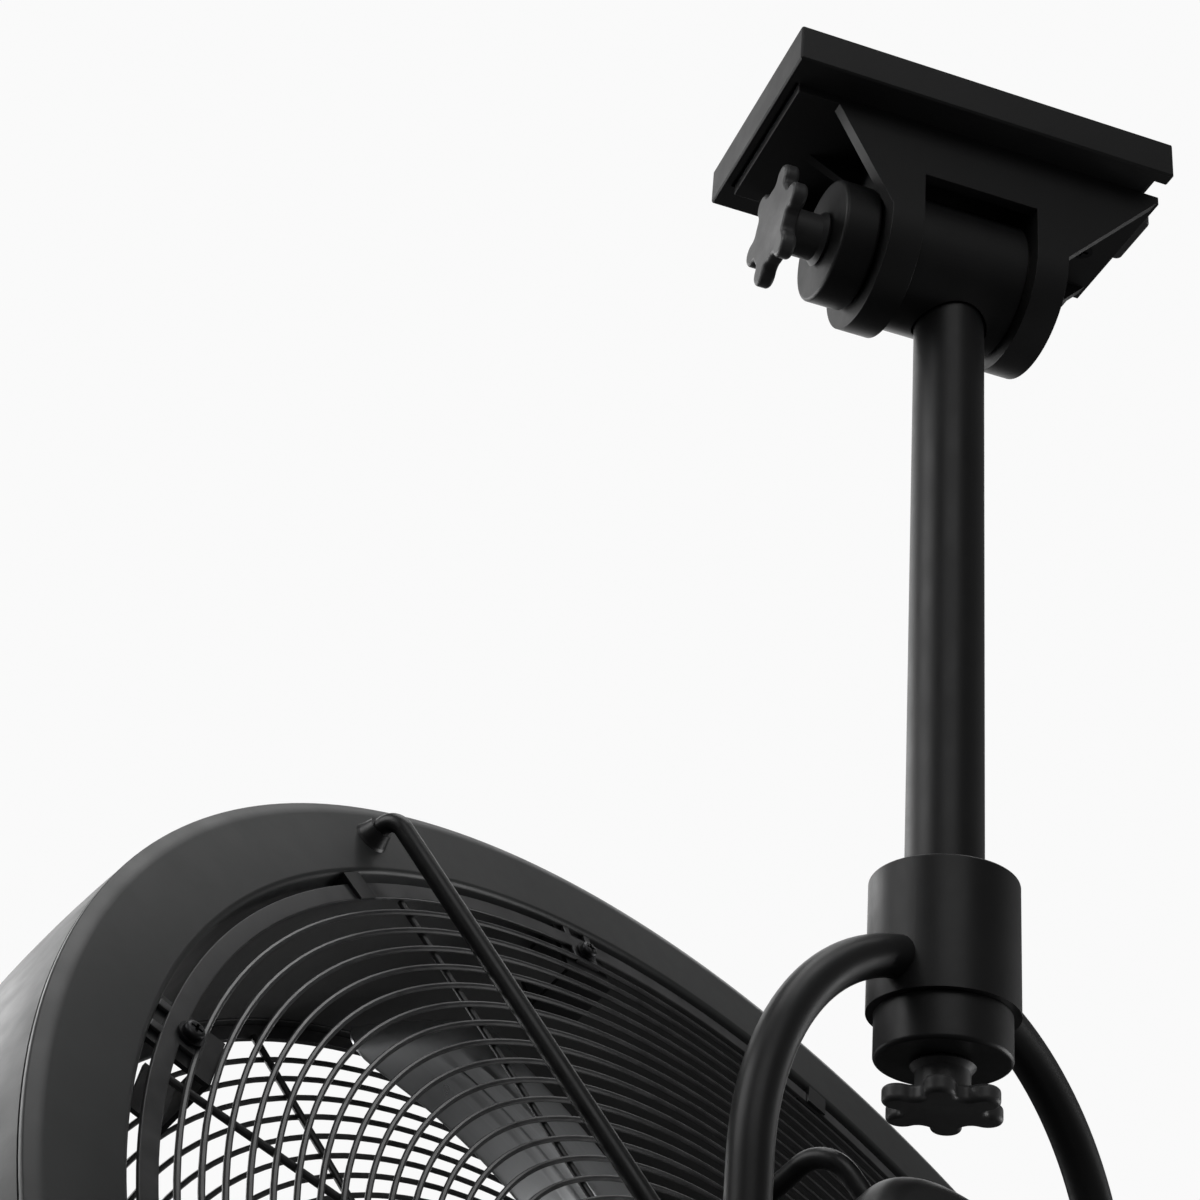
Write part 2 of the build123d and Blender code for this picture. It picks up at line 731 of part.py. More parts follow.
def drum_shell():
    """Outer wall, a little fuller at its middle."""
    z0 = drum_front + OUTER_SKIRT + RIM_GROOVE
    z1 = BEZEL_FACE - OUTER_SKIRT - RIM_GROOVE
    middle = (z0 + z1) / 2
    crown = DRUM_R + DRUM_CROWN
    inner = DRUM_R - DRUM_WALL
    outside = ThreePointArc((DRUM_R, 0, z0), (crown, 0, middle), (DRUM_R, 0, z1))
    inside = ThreePointArc((inner, 0, z1), (crown - DRUM_WALL, 0, middle), (inner, 0, z0))
    ends = [Line((DRUM_R, 0, z1), (inner, 0, z1)), Line((inner, 0, z0), (DRUM_R, 0, z0))]
    return revolve(make_face([outside, ends[0], inside, ends[1]]), Axis.Z)


def shell_joiners():
    """Inner hoops that hold the outer wall in both rims."""
    outer = DRUM_R - BEZEL_WALL - SEAT
    reach = 2 * BEZEL_SKIRT
    rear = ring(outer, outer - DRUM_WALL, BEZEL_FACE - BEZEL_WALL - SEAT, BEZEL_FACE - reach)
    front = ring(outer, outer - DRUM_WALL, drum_front + BEZEL_WALL + SEAT, drum_front + reach)
    return group([rear, front])


def drum_liner():
    """Inner wall, between the two rims."""
    z0 = drum_front + BEZEL_SKIRT + SEAT
    z1 = BEZEL_FACE - BEZEL_SKIRT - SEAT
    return ring(liner_r + LINER_WALL, liner_r, z0, z1)


# Guards


def net_cell(inner, outer):
    """The gap between two rings and two spokes. The first spoke lies on +X."""
    half = SPOKE_WIDTH / 2
    step = 2 * pi / SPOKE_COUNT

    def corner(radius, first):
        lean = asin(half / radius)
        angle = lean if first else step - lean
        return radius * cos(angle), radius * sin(angle)

    def middle(radius):
        return radius * cos(step / 2), radius * sin(step / 2)

    edges = [
        Line(corner(inner, True), corner(outer, True)),
        ThreePointArc(corner(outer, True), middle(outer), corner(outer, False)),
        Line(corner(outer, False), corner(inner, False)),
        ThreePointArc(corner(inner, False), middle(inner), corner(inner, True)),
    ]
    return make_face(edges)


def net(band_r, band_inner_r, ring_r, pitch, centre_r, top):
    """A flat guard: an outer band, as many even rings as fit, spokes and a centre plate."""
    half = RING_WIDTH / 2
    count = int((ring_r - RING_WIDTH - centre_r) / pitch) + 1
    gaps = [(ring_r + half, band_inner_r)]
    for k in range(count - 1):
        outer = ring_r - k * pitch - half
        gaps.append((outer - (pitch - RING_WIDTH), outer))
    gaps.append((centre_r, ring_r - (count - 1) * pitch - half))
    cells = []
    for inner, outer in gaps:
        cells.extend(around(net_cell(inner, outer), SPOKE_COUNT, SPOKE_ANGLE))
    return Pos(0, 0, top - RING_WIDTH) * extrude(Circle(band_r) - cells, RING_WIDTH)


def radial_bar(r0, r1, width, z0, z1):
    return block(r0, r1, -width / 2, width / 2, z0, z1)


def rear_guard():
    guard = net(
        rear_band_r,
        rear_band_inner_r,
        rear_ring_r,
        REAR_RING_PITCH,
        REAR_CENTRE_R,
        REAR_GUARD_Z,
    )
    tab = radial_bar(tab_inner_r, rear_band_inner_r + 1, TAB_WIDTH, rear_guard_back, REAR_GUARD_Z)
    lug = radial_bar(rear_band_r - 1, lug_r, LUG_WIDTH, rear_guard_back, REAR_GUARD_Z)
    lugs = [Pos(0, side * LUG_SPACING / 2, 0) * lug for side in (-1, 1)]
    guard = guard + at_stations(tab)
    for one in lugs:
        guard = guard + at_stations(one)
    hole = Pos(button_pitch_r, 0, 0) * cyl(BUTTON_SHANK_R + SEAT, rear_guard_back - 1, REAR_GUARD_Z + 1)
    guard = guard - cyl(REAR_CENTRE_HOLE_R, rear_guard_back - 1, REAR_GUARD_Z + 1)
    return cut_all(guard, at_stations(hole))


def button_screw(seat, way):
    """A round-headed screw with its washer. way is 1 for a head above the seat, -1 for one below it."""
    washer = ring(BUTTON_WASHER_R, BUTTON_SHANK_R + SEAT, seat, seat + way * BUTTON_WASHER_THICK)
    base = seat + way * BUTTON_WASHER_THICK
    crown = base + way * BUTTON_H
    head_body = cyl(BUTTON_R, base, crown)
    head_body = fillet(rim_edges(head_body, crown, BUTTON_R), BUTTON_ROUND)
    head_body = head_body + cyl(BUTTON_SHANK_R, base, base - way * BUTTON_SHANK)
    return [washer, head_body - cross_small(crown - way * 1.2, crown + way)]


def cross_small(z0, z1):
    bar = block(-2.2, 2.2, -0.5, 0.5, min(z0, z1), max(z0, z1))
    return bar + Rot(0, 0, 90) * bar


def guard_screws():
    pieces = [Pos(button_pitch_r, 0, 0) * p for p in button_screw(REAR_GUARD_Z, 1)]
    return group([q for p in pieces for q in at_stations(p)])


def rim_clips():
    """Hooks over the band, between the screw stations."""
    low = REAR_GUARD_Z - CLIP_DROP
    high = REAR_GUARD_Z + CLIP_THICK
    outer = opening_r - SEAT
    inner = rear_band_r + SEAT
    top = radial_bar(clip_inner_r, outer, CLIP_WIDTH, REAR_GUARD_Z, high)
    leg = radial_bar(inner, outer, CLIP_WIDTH, low, high) & ring(outer, inner, low, high)
    clip = (top & cyl(outer, REAR_GUARD_Z, high)) + leg
    return group([Rot(0, 0, station_step / 2) * c for c in at_stations(clip)])


def guard_brackets():
    """Angle brackets on the rear rim. They carry the rear guard's screws."""
    z0 = rear_guard_back
    shelf = radial_bar(bracket_inner_r, opening_r + 1, BRACKET_WIDTH, z0 - BRACKET_SHEET, z0)
    wall = radial_bar(bracket_inner_r, bracket_inner_r + BRACKET_SHEET, BRACKET_WIDTH, z0 - BRACKET_DROP, z0)
    low = z0 - BRACKET_DROP
    lip = radial_bar(bracket_inner_r, bracket_inner_r + BRACKET_FOOT, BRACKET_WIDTH, low, low + BRACKET_SHEET)
    foot = radial_bar(opening_r - 4, opening_r + 1, BRACKET_WIDTH, z0 - BRACKET_FOOT, z0)
    foot = foot - cyl(opening_r - SEAT - BRACKET_SHEET, z0 - BRACKET_FOOT - 1, z0 + 1)
    bracket = (shelf + wall + lip + foot) & cyl(opening_r - SEAT, z0 - BRACKET_DROP - 1, z0 + 1)
    bracket = bracket - Pos(button_pitch_r, 0, 0) * cyl(BUTTON_SHANK_R + SEAT, z0 - BRACKET_DROP / 2, z0 + 1)
    return group(at_stations(bracket))


def front_guard():
    guard = net(
        front_band_r,
        front_band_inner_r,
        front_ring_r,
        FRONT_RING_PITCH,
        FRONT_CENTRE_R,
        FRONT_GUARD_Z,
    )
    hole = Pos(front_screw_r, 0, 0) * cyl(BUTTON_SHANK_R + SEAT, front_guard_back - 1, FRONT_GUARD_Z + 1)
    return cut_all(guard, at_stations(hole))


def front_clips():
    """Angle clips on the front rim, behind the front guard's band."""
    z0 = FRONT_GUARD_Z
    shelf = radial_bar(front_clip_inner_r, opening_r + 1, FRONT_CLIP_WIDTH, z0, z0 + BRACKET_SHEET)
    foot = radial_bar(opening_r - 4, opening_r + 1, FRONT_CLIP_WIDTH, z0, z0 + BRACKET_FOOT)
    foot = foot - cyl(opening_r - SEAT - BRACKET_SHEET, z0 - 1, z0 + BRACKET_FOOT + 1)
    clip = (shelf + foot) & cyl(opening_r - SEAT, z0 - 1, z0 + BRACKET_FOOT + 1)
    clip = clip - Pos(front_screw_r, 0, 0) * cyl(BUTTON_SHANK_R + SEAT, z0 - 1, z0 + BRACKET_FOOT + 1)
    return group(at_stations(clip))


def front_guard_screws():
    """Small screws whose heads lie on the guard's band."""
    seat = front_guard_back
    body = cyl(front_band_r - front_screw_r - 0.4, seat, seat - 2)
    body = body + cyl(BUTTON_SHANK_R, seat, seat + BUTTON_SHANK / 2)
    body = body - cross_small(seat - 3, seat - 1)
    return group(at_stations(Pos(front_screw_r, 0, 0) * body))


# Support rods


def bent_path(points, bends):
    """A path in the plane XZ through square corners, each rounded by its own bend."""
    edges = []
    start = Vector(points[0][0], 0, points[0][1])
    for k, bend in enumerate(bends, 1):
        before, corner, after = [Vector(p[0], 0, p[1]) for p in points[k - 1 : k + 2]]
        come = (corner - before).normalized()
        go = (after - corner).normalized()
        first = corner - come * bend
        last = corner + go * bend
        middle = corner + (go - come) * bend * (1 - sqrt(0.5))
        edges.append(Line(start, first))
        edges.append(ThreePointArc(first, middle, last))
        start = last
    edges.append(Line(start, Vector(points[-1][0], 0, points[-1][1])))
    return Wire(edges)


def rod():
    points = [
        (rod_foot_r, BEZEL_FACE - BEZEL_WALL - ROD_THREAD),
        (rod_foot_r, rod_run_z),
        (ROD_LEG_R, rod_run_z),
        (ROD_LEG_R, ROD_TOP),
        (MOTOR_R - ROD_INSERT, ROD_TOP),
    ]
    path = bent_path(points, [ROD_FOOT_BEND, ROD_LEG_BEND, ROD_LEG_BEND])
    return sweep(Plane(origin=path @ 0, z_dir=path % 0) * Circle(ROD_R), path=path)


def support_rods():
    return group(around(rod(), ROD_COUNT, ROD_ANGLE))


def rod_ferrules():
    ferrule = turned([
        (ROD_R + SEAT, BEZEL_FACE),
        (FERRULE_R, BEZEL_FACE),
        (FERRULE_R - 0.6, BEZEL_FACE + 1),
        (FERRULE_TOP_R, BEZEL_FACE + FERRULE_H),
        (ROD_R + SEAT, BEZEL_FACE + FERRULE_H),
    ])
    return group(around(Pos(rod_foot_r, 0, 0) * ferrule, ROD_COUNT, ROD_ANGLE))


def rod_nuts():
    top = BEZEL_FACE - BEZEL_WALL
    nut = Pos(0, 0, top - ROD_NUT_H) * extrude(RegularPolygon(ROD_NUT_R, 6), ROD_NUT_H)
    nut = nut - cyl(ROD_R + SEAT, top - ROD_NUT_H - 1, top + 1)
    return group(around(Pos(rod_foot_r, 0, 0) * nut, ROD_COUNT, ROD_ANGLE))


# Motor


def outward(shape, z):
    """Turns a shape that was drawn along +Z so that it points along +X at the given height."""
    return Pos(0, 0, z) * along_x(shape)


def motor_screw_places(shape):
    heights = (MOTOR_REAR - COVER_SPIGOT / 2, MOTOR_FRONT + COVER_SPIGOT / 2)
    return [q for z in heights for q in around(outward(shape, z), MOTOR_SCREW_COUNT, MOTOR_SCREW_ANGLE)]


def motor_screws():
    screw = cyl(MOTOR_SCREW_HEAD_R, MOTOR_R - 0.3, MOTOR_R + MOTOR_SCREW_HEAD_H)
    screw = screw + cyl(MOTOR_SCREW_R, MOTOR_R, MOTOR_R - MOTOR_SCREW_LENGTH)
    return group(motor_screw_places(screw))


def motor_screw_holes():
    hole = cyl(MOTOR_SCREW_R + SEAT, MOTOR_R + 1, MOTOR_R - MOTOR_SCREW_LENGTH - SEAT)
    flat = cyl(MOTOR_SCREW_HEAD_R + SEAT, MOTOR_R + 1, MOTOR_R - 0.3 - SEAT)
    return motor_screw_places(hole + flat)


def motor_housing():
    body = cyl(MOTOR_R, MOTOR_FRONT, MOTOR_REAR)
    boss = outward(cyl(BOSS_R, 0, BOSS_END), 0)
    body = body + around(boss, 2)
    body = body - cyl(MOTOR_R - MOTOR_WALL, MOTOR_FRONT - 1, MOTOR_REAR + 1)
    threads = around(outward(cyl(STUD_R + SEAT, BOSS_END + 1, BOSS_END - PIVOT_THREAD), 0), 2)
    rod_hole = outward(cyl(ROD_R + SEAT, MOTOR_R + 1, MOTOR_R - ROD_INSERT - SEAT), ROD_TOP)
    rods = around(rod_hole, ROD_COUNT, ROD_ANGLE)
    inlet = Rot(0, 0, -90) * outward(cyl(GLAND_THREAD_R + SEAT, 0, MOTOR_R + 1), GLAND_Z)
    return cut_all(body, threads + rods + [inlet] + motor_screw_holes())


def motor_rear_cover():
    shell = cyl(MOTOR_R, MOTOR_REAR, cover_top)
    shell = fillet(rim_edges(shell, cover_top, MOTOR_R), REAR_COVER_ROUND)
    room_r = spigot_r - COVER_WALL
    room = cyl(room_r, MOTOR_REAR, cover_ceiling)
    shell = shell - fillet(rim_edges(room, cover_ceiling, room_r), REAR_COVER_ROUND - COVER_WALL)
    shell = shell + ring(spigot_r, room_r, MOTOR_REAR - COVER_SPIGOT, MOTOR_REAR + 1)
    seat = ring(BEARING_R + SEAT_WALL, BEARING_R + SEAT, SHAFT_REAR - BEARING_WIDTH, cover_ceiling + SEAT)
    stem = Pos(0, SWITCH_Y, 0) * cyl(SWITCH_STEM_R + SLIP, cover_ceiling - 1, cover_top + 1)
    return cut_all(shell + seat, [stem] + motor_screw_holes())


def motor_front_plate():
    plate = cyl(MOTOR_R, plate_bottom, MOTOR_FRONT)
    plate = chamfer(rim_edges(plate, plate_bottom, MOTOR_R), 1.5)
    plate = plate + ring(spigot_r, spigot_r - COVER_WALL, MOTOR_FRONT - 1, MOTOR_FRONT + COVER_SPIGOT)
    plate = plate + cyl(BEARING_R + SEAT_WALL, MOTOR_FRONT - 1, front_bearing_top())
    plate = plate - cyl(BEARING_R + SEAT, MOTOR_FRONT, front_bearing_top() + 1)
    plate = plate - cyl(SHAFT_R + 1, plate_bottom - 1, MOTOR_FRONT + 1)
    return cut_all(plate, motor_screw_holes())


def front_bearing_top():
    return MOTOR_FRONT + BEARING_WIDTH


def bearing_heights():
    return (SHAFT_REAR - BEARING_WIDTH, MOTOR_FRONT)


def ball_track():
    middle = (BEARING_R + SHAFT_R) / 2
    return Pos(0, 0, BEARING_WIDTH / 2) * Torus(middle, BALL_R + BALL_GAP)


def bearing_outer_races():
    race = ring(BEARING_R, BEARING_R - BEARING_RACE, 0, BEARING_WIDTH) - ball_track()
    return group([Pos(0, 0, z) * race for z in bearing_heights()])


def bearing_inner_races():
    race = ring(SHAFT_R + BEARING_RACE, SHAFT_R + SEAT, 0, BEARING_WIDTH) - ball_track()
    return group([Pos(0, 0, z) * race for z in bearing_heights()])


def bearing_balls():
    ball = Pos((BEARING_R + SHAFT_R) / 2, 0, BEARING_WIDTH / 2) * Sphere(BALL_R)
    return group([Pos(0, 0, z) * one for z in bearing_heights() for one in around(ball, BALL_COUNT)])


def stator_slots(gap, rise):
    width = STATOR_SLOT_WIDTH - 2 * gap
    slot = radial_bar(STATOR_BORE_R - 1, STATOR_SLOT_R - gap, width, STATOR_FRONT - rise, STATOR_REAR + rise)
    return around(slot, STATOR_SLOTS)


def stator_core():
    core = ring(spigot_r, STATOR_BORE_R, STATOR_FRONT, STATOR_REAR)
    return cut_all(core, stator_slots(0, 1))


def stator_windings():
    """Copper in the stator's slots, with a ring of end turns at each end."""
    coil = ring(WINDING_R, WINDING_INNER_R, STATOR_REAR + SEAT, STATOR_REAR + WINDING_RISE)
    coil = coil + ring(WINDING_R, WINDING_INNER_R, STATOR_FRONT - WINDING_RISE, STATOR_FRONT - SEAT)
    for bar in stator_slots(SLIP, 2):
        coil = coil + (bar - cyl(WINDING_INNER_R, STATOR_FRONT - 9, STATOR_REAR + 9))
    return coil


def rotor_core():
    return ring(ROTOR_R, SHAFT_R + SEAT, STATOR_FRONT, STATOR_REAR)


def motor_shaft():
    thread_top = HUB_FRONT
    shaft = cyl(SHAFT_R, SHAFT_REAR, thread_top) + cyl(SHAFT_THREAD_R, thread_top, thread_top - SHAFT_THREAD)
    return shaft


def run_capacitor():
    can = cyl(CAPACITOR_R, -CAPACITOR_LENGTH / 2, CAPACITOR_LENGTH / 2)
    can = fillet(can.edges(), 1)
    return Pos(0, CAPACITOR_Y, cover_ceiling - CAPACITOR_R - SEAT) * along_x(can)


def speed_switch():
    top = cover_ceiling - SEAT
    half = SWITCH_SIZE / 2
    box = block(-half, half, SWITCH_Y - half, SWITCH_Y + half, top - SWITCH_SIZE + 1, top)
    return box - Pos(0, SWITCH_Y, 0) * cyl(SWITCH_STEM_R + SLIP, top - SWITCH_SIZE / 2, top + 1)


def speed_dial():
    """The dial with its stem, which reaches into the switch."""
    low = cover_top + FACE_GAP
    dial = cyl(DIAL_R, low, low + DIAL_H)
    dial = fillet(rim_edges(dial, low + DIAL_H, DIAL_R), DIAL_ROUND)
    half = DIAL_RIB / 2
    grip = block(-half, half, -DIAL_R + 2, DIAL_R - 2, low + DIAL_H - 1, low + DIAL_H + DIAL_RIB_H)
    dial = dial + grip + cyl(SWITCH_STEM_R, low + 1, cover_ceiling - SEAT - SWITCH_SIZE / 2 + FACE_GAP)
    return Pos(0, SWITCH_Y, 0) * dial


def cord_gland():
    """Strain relief for the supply cord at the side of the housing."""
    nut = extrude(RegularPolygon(GLAND_R, 6), GLAND_LENGTH / 2)
    body = Pos(0, 0, MOTOR_R + SEAT) * nut + cyl(GLAND_R * 0.8, MOTOR_R + 1, MOTOR_R + GLAND_LENGTH)
    body = body + cyl(GLAND_THREAD_R, MOTOR_R + 1, MOTOR_R - MOTOR_WALL - 2)
    body = body - cyl(GLAND_BORE_R, MOTOR_R - MOTOR_WALL - 3, MOTOR_R + GLAND_LENGTH + 1)
    return Rot(0, 0, -90) * outward(body, GLAND_Z)


# Yoke pivots. Each is drawn on the +X side and turned to its own side


def pivot_washers():
    """A spacer inside each arm of the yoke and a thick washer outside it."""
    start = arm_outer + FACE_GAP
    inner = ring(SPACER_R, STUD_R + SLIP, BOSS_END, arm_inner - FACE_GAP)
    outer = ring(SADDLE_R, STUD_R + SLIP, start, start + SADDLE_THICK)
    return group(around(outward(inner, 0), 2) + around(outward(outer, 0), 2))


def side_seat():
    return arm_outer + SADDLE_THICK + 2 * FACE_GAP


def side_knob(turn):
    knob = Rot(180, 0, 0) * star_knob(SIDE_NECK_LENGTH, SIDE_NECK_LENGTH + INSERT_DEPTH / 2)
    return Rot(0, 0, turn) * outward(Pos(0, 0, side_seat()) * knob, 0)


def side_bolt(turn):
    """Threaded stud with its moulded-in head. It turns with the knob."""
    tip = BOSS_END - PIVOT_THREAD + 1
    end = side_seat() + SIDE_NECK_LENGTH + INSERT_DEPTH / 2
    bolt = cyl(STUD_R, tip, end) + cyl(INSERT_R, side_seat() + FACE_GAP, end)
    return Rot(0, 0, turn) * outward(bolt, 0)


def side_knob_right():
    return side_knob(0)


def side_knob_left():
    return side_knob(180)


def side_bolt_right():
    return side_bolt(0)


def side_bolt_left():
    return side_bolt(180)


# Fan rotor


def blade_hub():
    outer = cyl(HUB_R, HUB_REAR, HUB_FRONT)
    outer = fillet(rim_edges(outer, HUB_REAR, HUB_R), HUB_ROUND)
    inside = ring(HUB_R - HUB_WALL, HUB_BOSS_R, HUB_REAR - HUB_WALL, HUB_FRONT - 1)
    return outer - inside - cyl(SHAFT_R + SEAT, HUB_REAR + 1, HUB_FRONT - 1)


def blade_section(radius, chord, angle):
    """A thin arched strip across the blade, square to the radius."""
    distance = sqrt(radius**2 - (chord / 2) ** 2)
    turn = radians(angle)
    plane = Plane(
        origin=(distance * cos(turn), distance * sin(turn), BLADE_MID_Z),
        x_dir=(sin(turn), -cos(turn), 0),
        z_dir=(cos(turn), sin(turn), 0),
    )
    half = chord / 2
    lift = -BLADE_RAKE / 2
    rise = BLADE_CAMBER * chord / BLADE_FULL_CHORD
    under = rise - BLADE_THICK
    left = lift - BLADE_THICK
    right = -lift - BLADE_THICK
    edges = [
        ThreePointArc((-half, lift), (0, rise), (half, -lift)),
        Line((half, -lift), (half, right)),
        ThreePointArc((half, right), (0, under), (-half, left)),
        Line((-half, left), (-half, lift)),
    ]
    return plane * make_face(edges)


def blade():
    sections = []
    for share in BLADE_STATION_SHARES:
        radius = BLADE_ROOT_R + share * (blade_tip_r - BLADE_ROOT_R)
        spread = (radius / blade_tip_r) ** 2
        chord = BLADE_ROOT_CHORD + (BLADE_FULL_CHORD - BLADE_ROOT_CHORD) * spread**2
        sections.append(blade_section(radius, chord, BLADE_ROOT_ANGLE + BLADE_SWEEP * spread))
    sections.append(blade_section(blade_tip_r, BLADE_TIP_CHORD, BLADE_TIP_ANGLE))
    return loft(sections) - cyl(HUB_R + SEAT, HUB_REAR + 9, HUB_FRONT - 9)


def blades():
    return group(around(blade(), BLADE_COUNT))


def hub_nut():
    nut = Pos(0, 0, HUB_FRONT - HUB_NUT_H) * extrude(RegularPolygon(HUB_NUT_R, 6), HUB_NUT_H)
    return nut - cyl(SHAFT_THREAD_R + SEAT, HUB_FRONT - HUB_NUT_H - 1, HUB_FRONT + 1)


# Writing the parts

FRAME_PARTS = [
    ceiling_plate,
    latch_button,
    knuckle_bracket,
    lock_screw,
    tilt_barrel,
    cross_pin,
    friction_washers,
    tilt_bolt,
    tilt_bolt_washer,
    clamp_cap,
    tilt_knob,
    tilt_knob_insert,
    drop_pole,
    pole_end_plug,
    swivel_bush,
    swivel_collar,
    collar_cap,
    swivel_knob,
    swivel_stud,
    yoke_tube,
    yoke_end_plugs,
]

HEAD_PARTS = [
    rear_bezel,
    front_bezel,
    drum_shell,
    shell_joiners,
    drum_liner,
    rear_guard,
    guard_screws,
    rim_clips,
    guard_brackets,
    front_guard,
    front_clips,
    front_guard_screws,
    support_rods,
    rod_ferrules,
    rod_nuts,
    motor_housing,
    motor_rear_cover,
    motor_front_plate,
    motor_screws,
    bearing_outer_races,
    bearing_inner_races,
    bearing_balls,
    stator_core,
    stator_windings,
    rotor_core,
    motor_shaft,
    run_capacitor,
    speed_switch,
    speed_dial,
    cord_gland,
    pivot_washers,
    side_knob_right,
    side_knob_left,
    side_bolt_right,
    side_bolt_left,
    blade_hub,
    blades,
    hub_nut,
]

if __name__ == "__main__":
    os.makedirs("parts", exist_ok=True)
    for make in FRAME_PARTS:
        export_step(make(), f"parts/{make.__name__}.step")
    for make in HEAD_PARTS:
        export_step(head(make()), f"parts/{make.__name__}.step")
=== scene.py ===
"""Ceiling drum fan: detailed pieces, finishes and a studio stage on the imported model."""

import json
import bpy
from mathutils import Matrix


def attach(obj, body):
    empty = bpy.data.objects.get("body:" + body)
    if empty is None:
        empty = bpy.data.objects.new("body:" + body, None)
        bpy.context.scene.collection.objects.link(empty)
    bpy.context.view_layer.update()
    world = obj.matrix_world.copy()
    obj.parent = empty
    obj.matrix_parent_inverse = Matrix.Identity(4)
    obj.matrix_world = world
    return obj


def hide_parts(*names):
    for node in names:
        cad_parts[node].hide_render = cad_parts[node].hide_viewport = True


bl_info = {
    "name": "Ceiling Drum Fan",
    "version": (1, 0, 0),
    "blender": (4, 5, 0),
    "location": "View3D > Sidebar > Drum Fan",
    "description": "Builds the detailed pieces and finishes of a ceiling drum fan",
    "category": "Object",
}

from math import cos, pi, radians, sin, sqrt

import bpy
from bpy.props import FloatProperty, FloatVectorProperty, IntProperty, PointerProperty
from mathutils import Matrix, Vector

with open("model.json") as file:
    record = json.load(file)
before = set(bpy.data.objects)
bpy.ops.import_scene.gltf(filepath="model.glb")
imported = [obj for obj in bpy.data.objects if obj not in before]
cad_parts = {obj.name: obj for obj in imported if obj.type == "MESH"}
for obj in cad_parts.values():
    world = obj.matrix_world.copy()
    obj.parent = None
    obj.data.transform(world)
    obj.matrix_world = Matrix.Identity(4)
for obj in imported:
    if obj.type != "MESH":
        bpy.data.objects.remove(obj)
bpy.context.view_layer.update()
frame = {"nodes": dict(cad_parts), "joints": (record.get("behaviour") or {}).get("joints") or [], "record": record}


def joint(name):
    return next(j for j in frame["joints"] if j["name"] == name)


def head_frame():
    """The fan head's own frame: Z is the drum's axis towards the rear guard, X is the tilt axis."""
    x = Vector(joint("head_tilt")["axis"]).normalized()
    z = Vector(joint("blade_spin")["axis"]).normalized()
    y = z.cross(x)
    turn = Matrix((x, y, z)).transposed().to_4x4()
    return Matrix.Translation(joint("head_tilt")["pos_m"]) @ turn


HEAD = head_frame()
HEAD_AXIS = HEAD.to_3x3().col[2].copy()


# Sizes and colours that a user would change


class DrumSizes(bpy.types.PropertyGroup):
    outer_radius: FloatProperty(
        name="Drum Radius", description="Outside of both rims", default=0.305, unit="LENGTH")
    crown: FloatProperty(
        name="Wall Crown", description="How far the outer wall swells at its middle",
        default=0.0024, unit="LENGTH")
    opening_radius: FloatProperty(
        name="Opening Radius", description="Inner edge of both rims", default=0.2705, unit="LENGTH")
    rear_face: FloatProperty(
        name="Rear Face", description="Height of the rear rim's face on the drum's axis",
        default=-0.0599, unit="LENGTH")
    depth: FloatProperty(
        name="Drum Depth", description="From the rear face to the front face",
        default=0.0946, unit="LENGTH")
    edge_width: FloatProperty(
        name="Edge Width", description="How far each rim's face leans at its outer edge",
        default=0.0045, unit="LENGTH")
    edge_drop: FloatProperty(
        name="Edge Drop", description="How deep that edge leans", default=0.0013, unit="LENGTH")
    outer_skirt: FloatProperty(
        name="Outer Skirt", description="Depth of each rim's outer skirt",
        default=0.003, unit="LENGTH")
    groove: FloatProperty(
        name="Groove", description="Gap between each rim and the outer wall",
        default=0.0006, unit="LENGTH")
    inner_roll: FloatProperty(
        name="Inner Roll", description="Radius of each rim's inner edge",
        default=0.0024, unit="LENGTH")
    skirt: FloatProperty(
        name="Inner Skirt", description="Depth of each rim's inner skirt",
        default=0.008, unit="LENGTH")
    sheet: FloatProperty(
        name="Sheet", description="Thickness of the rims and the outer wall",
        default=0.002, unit="LENGTH")


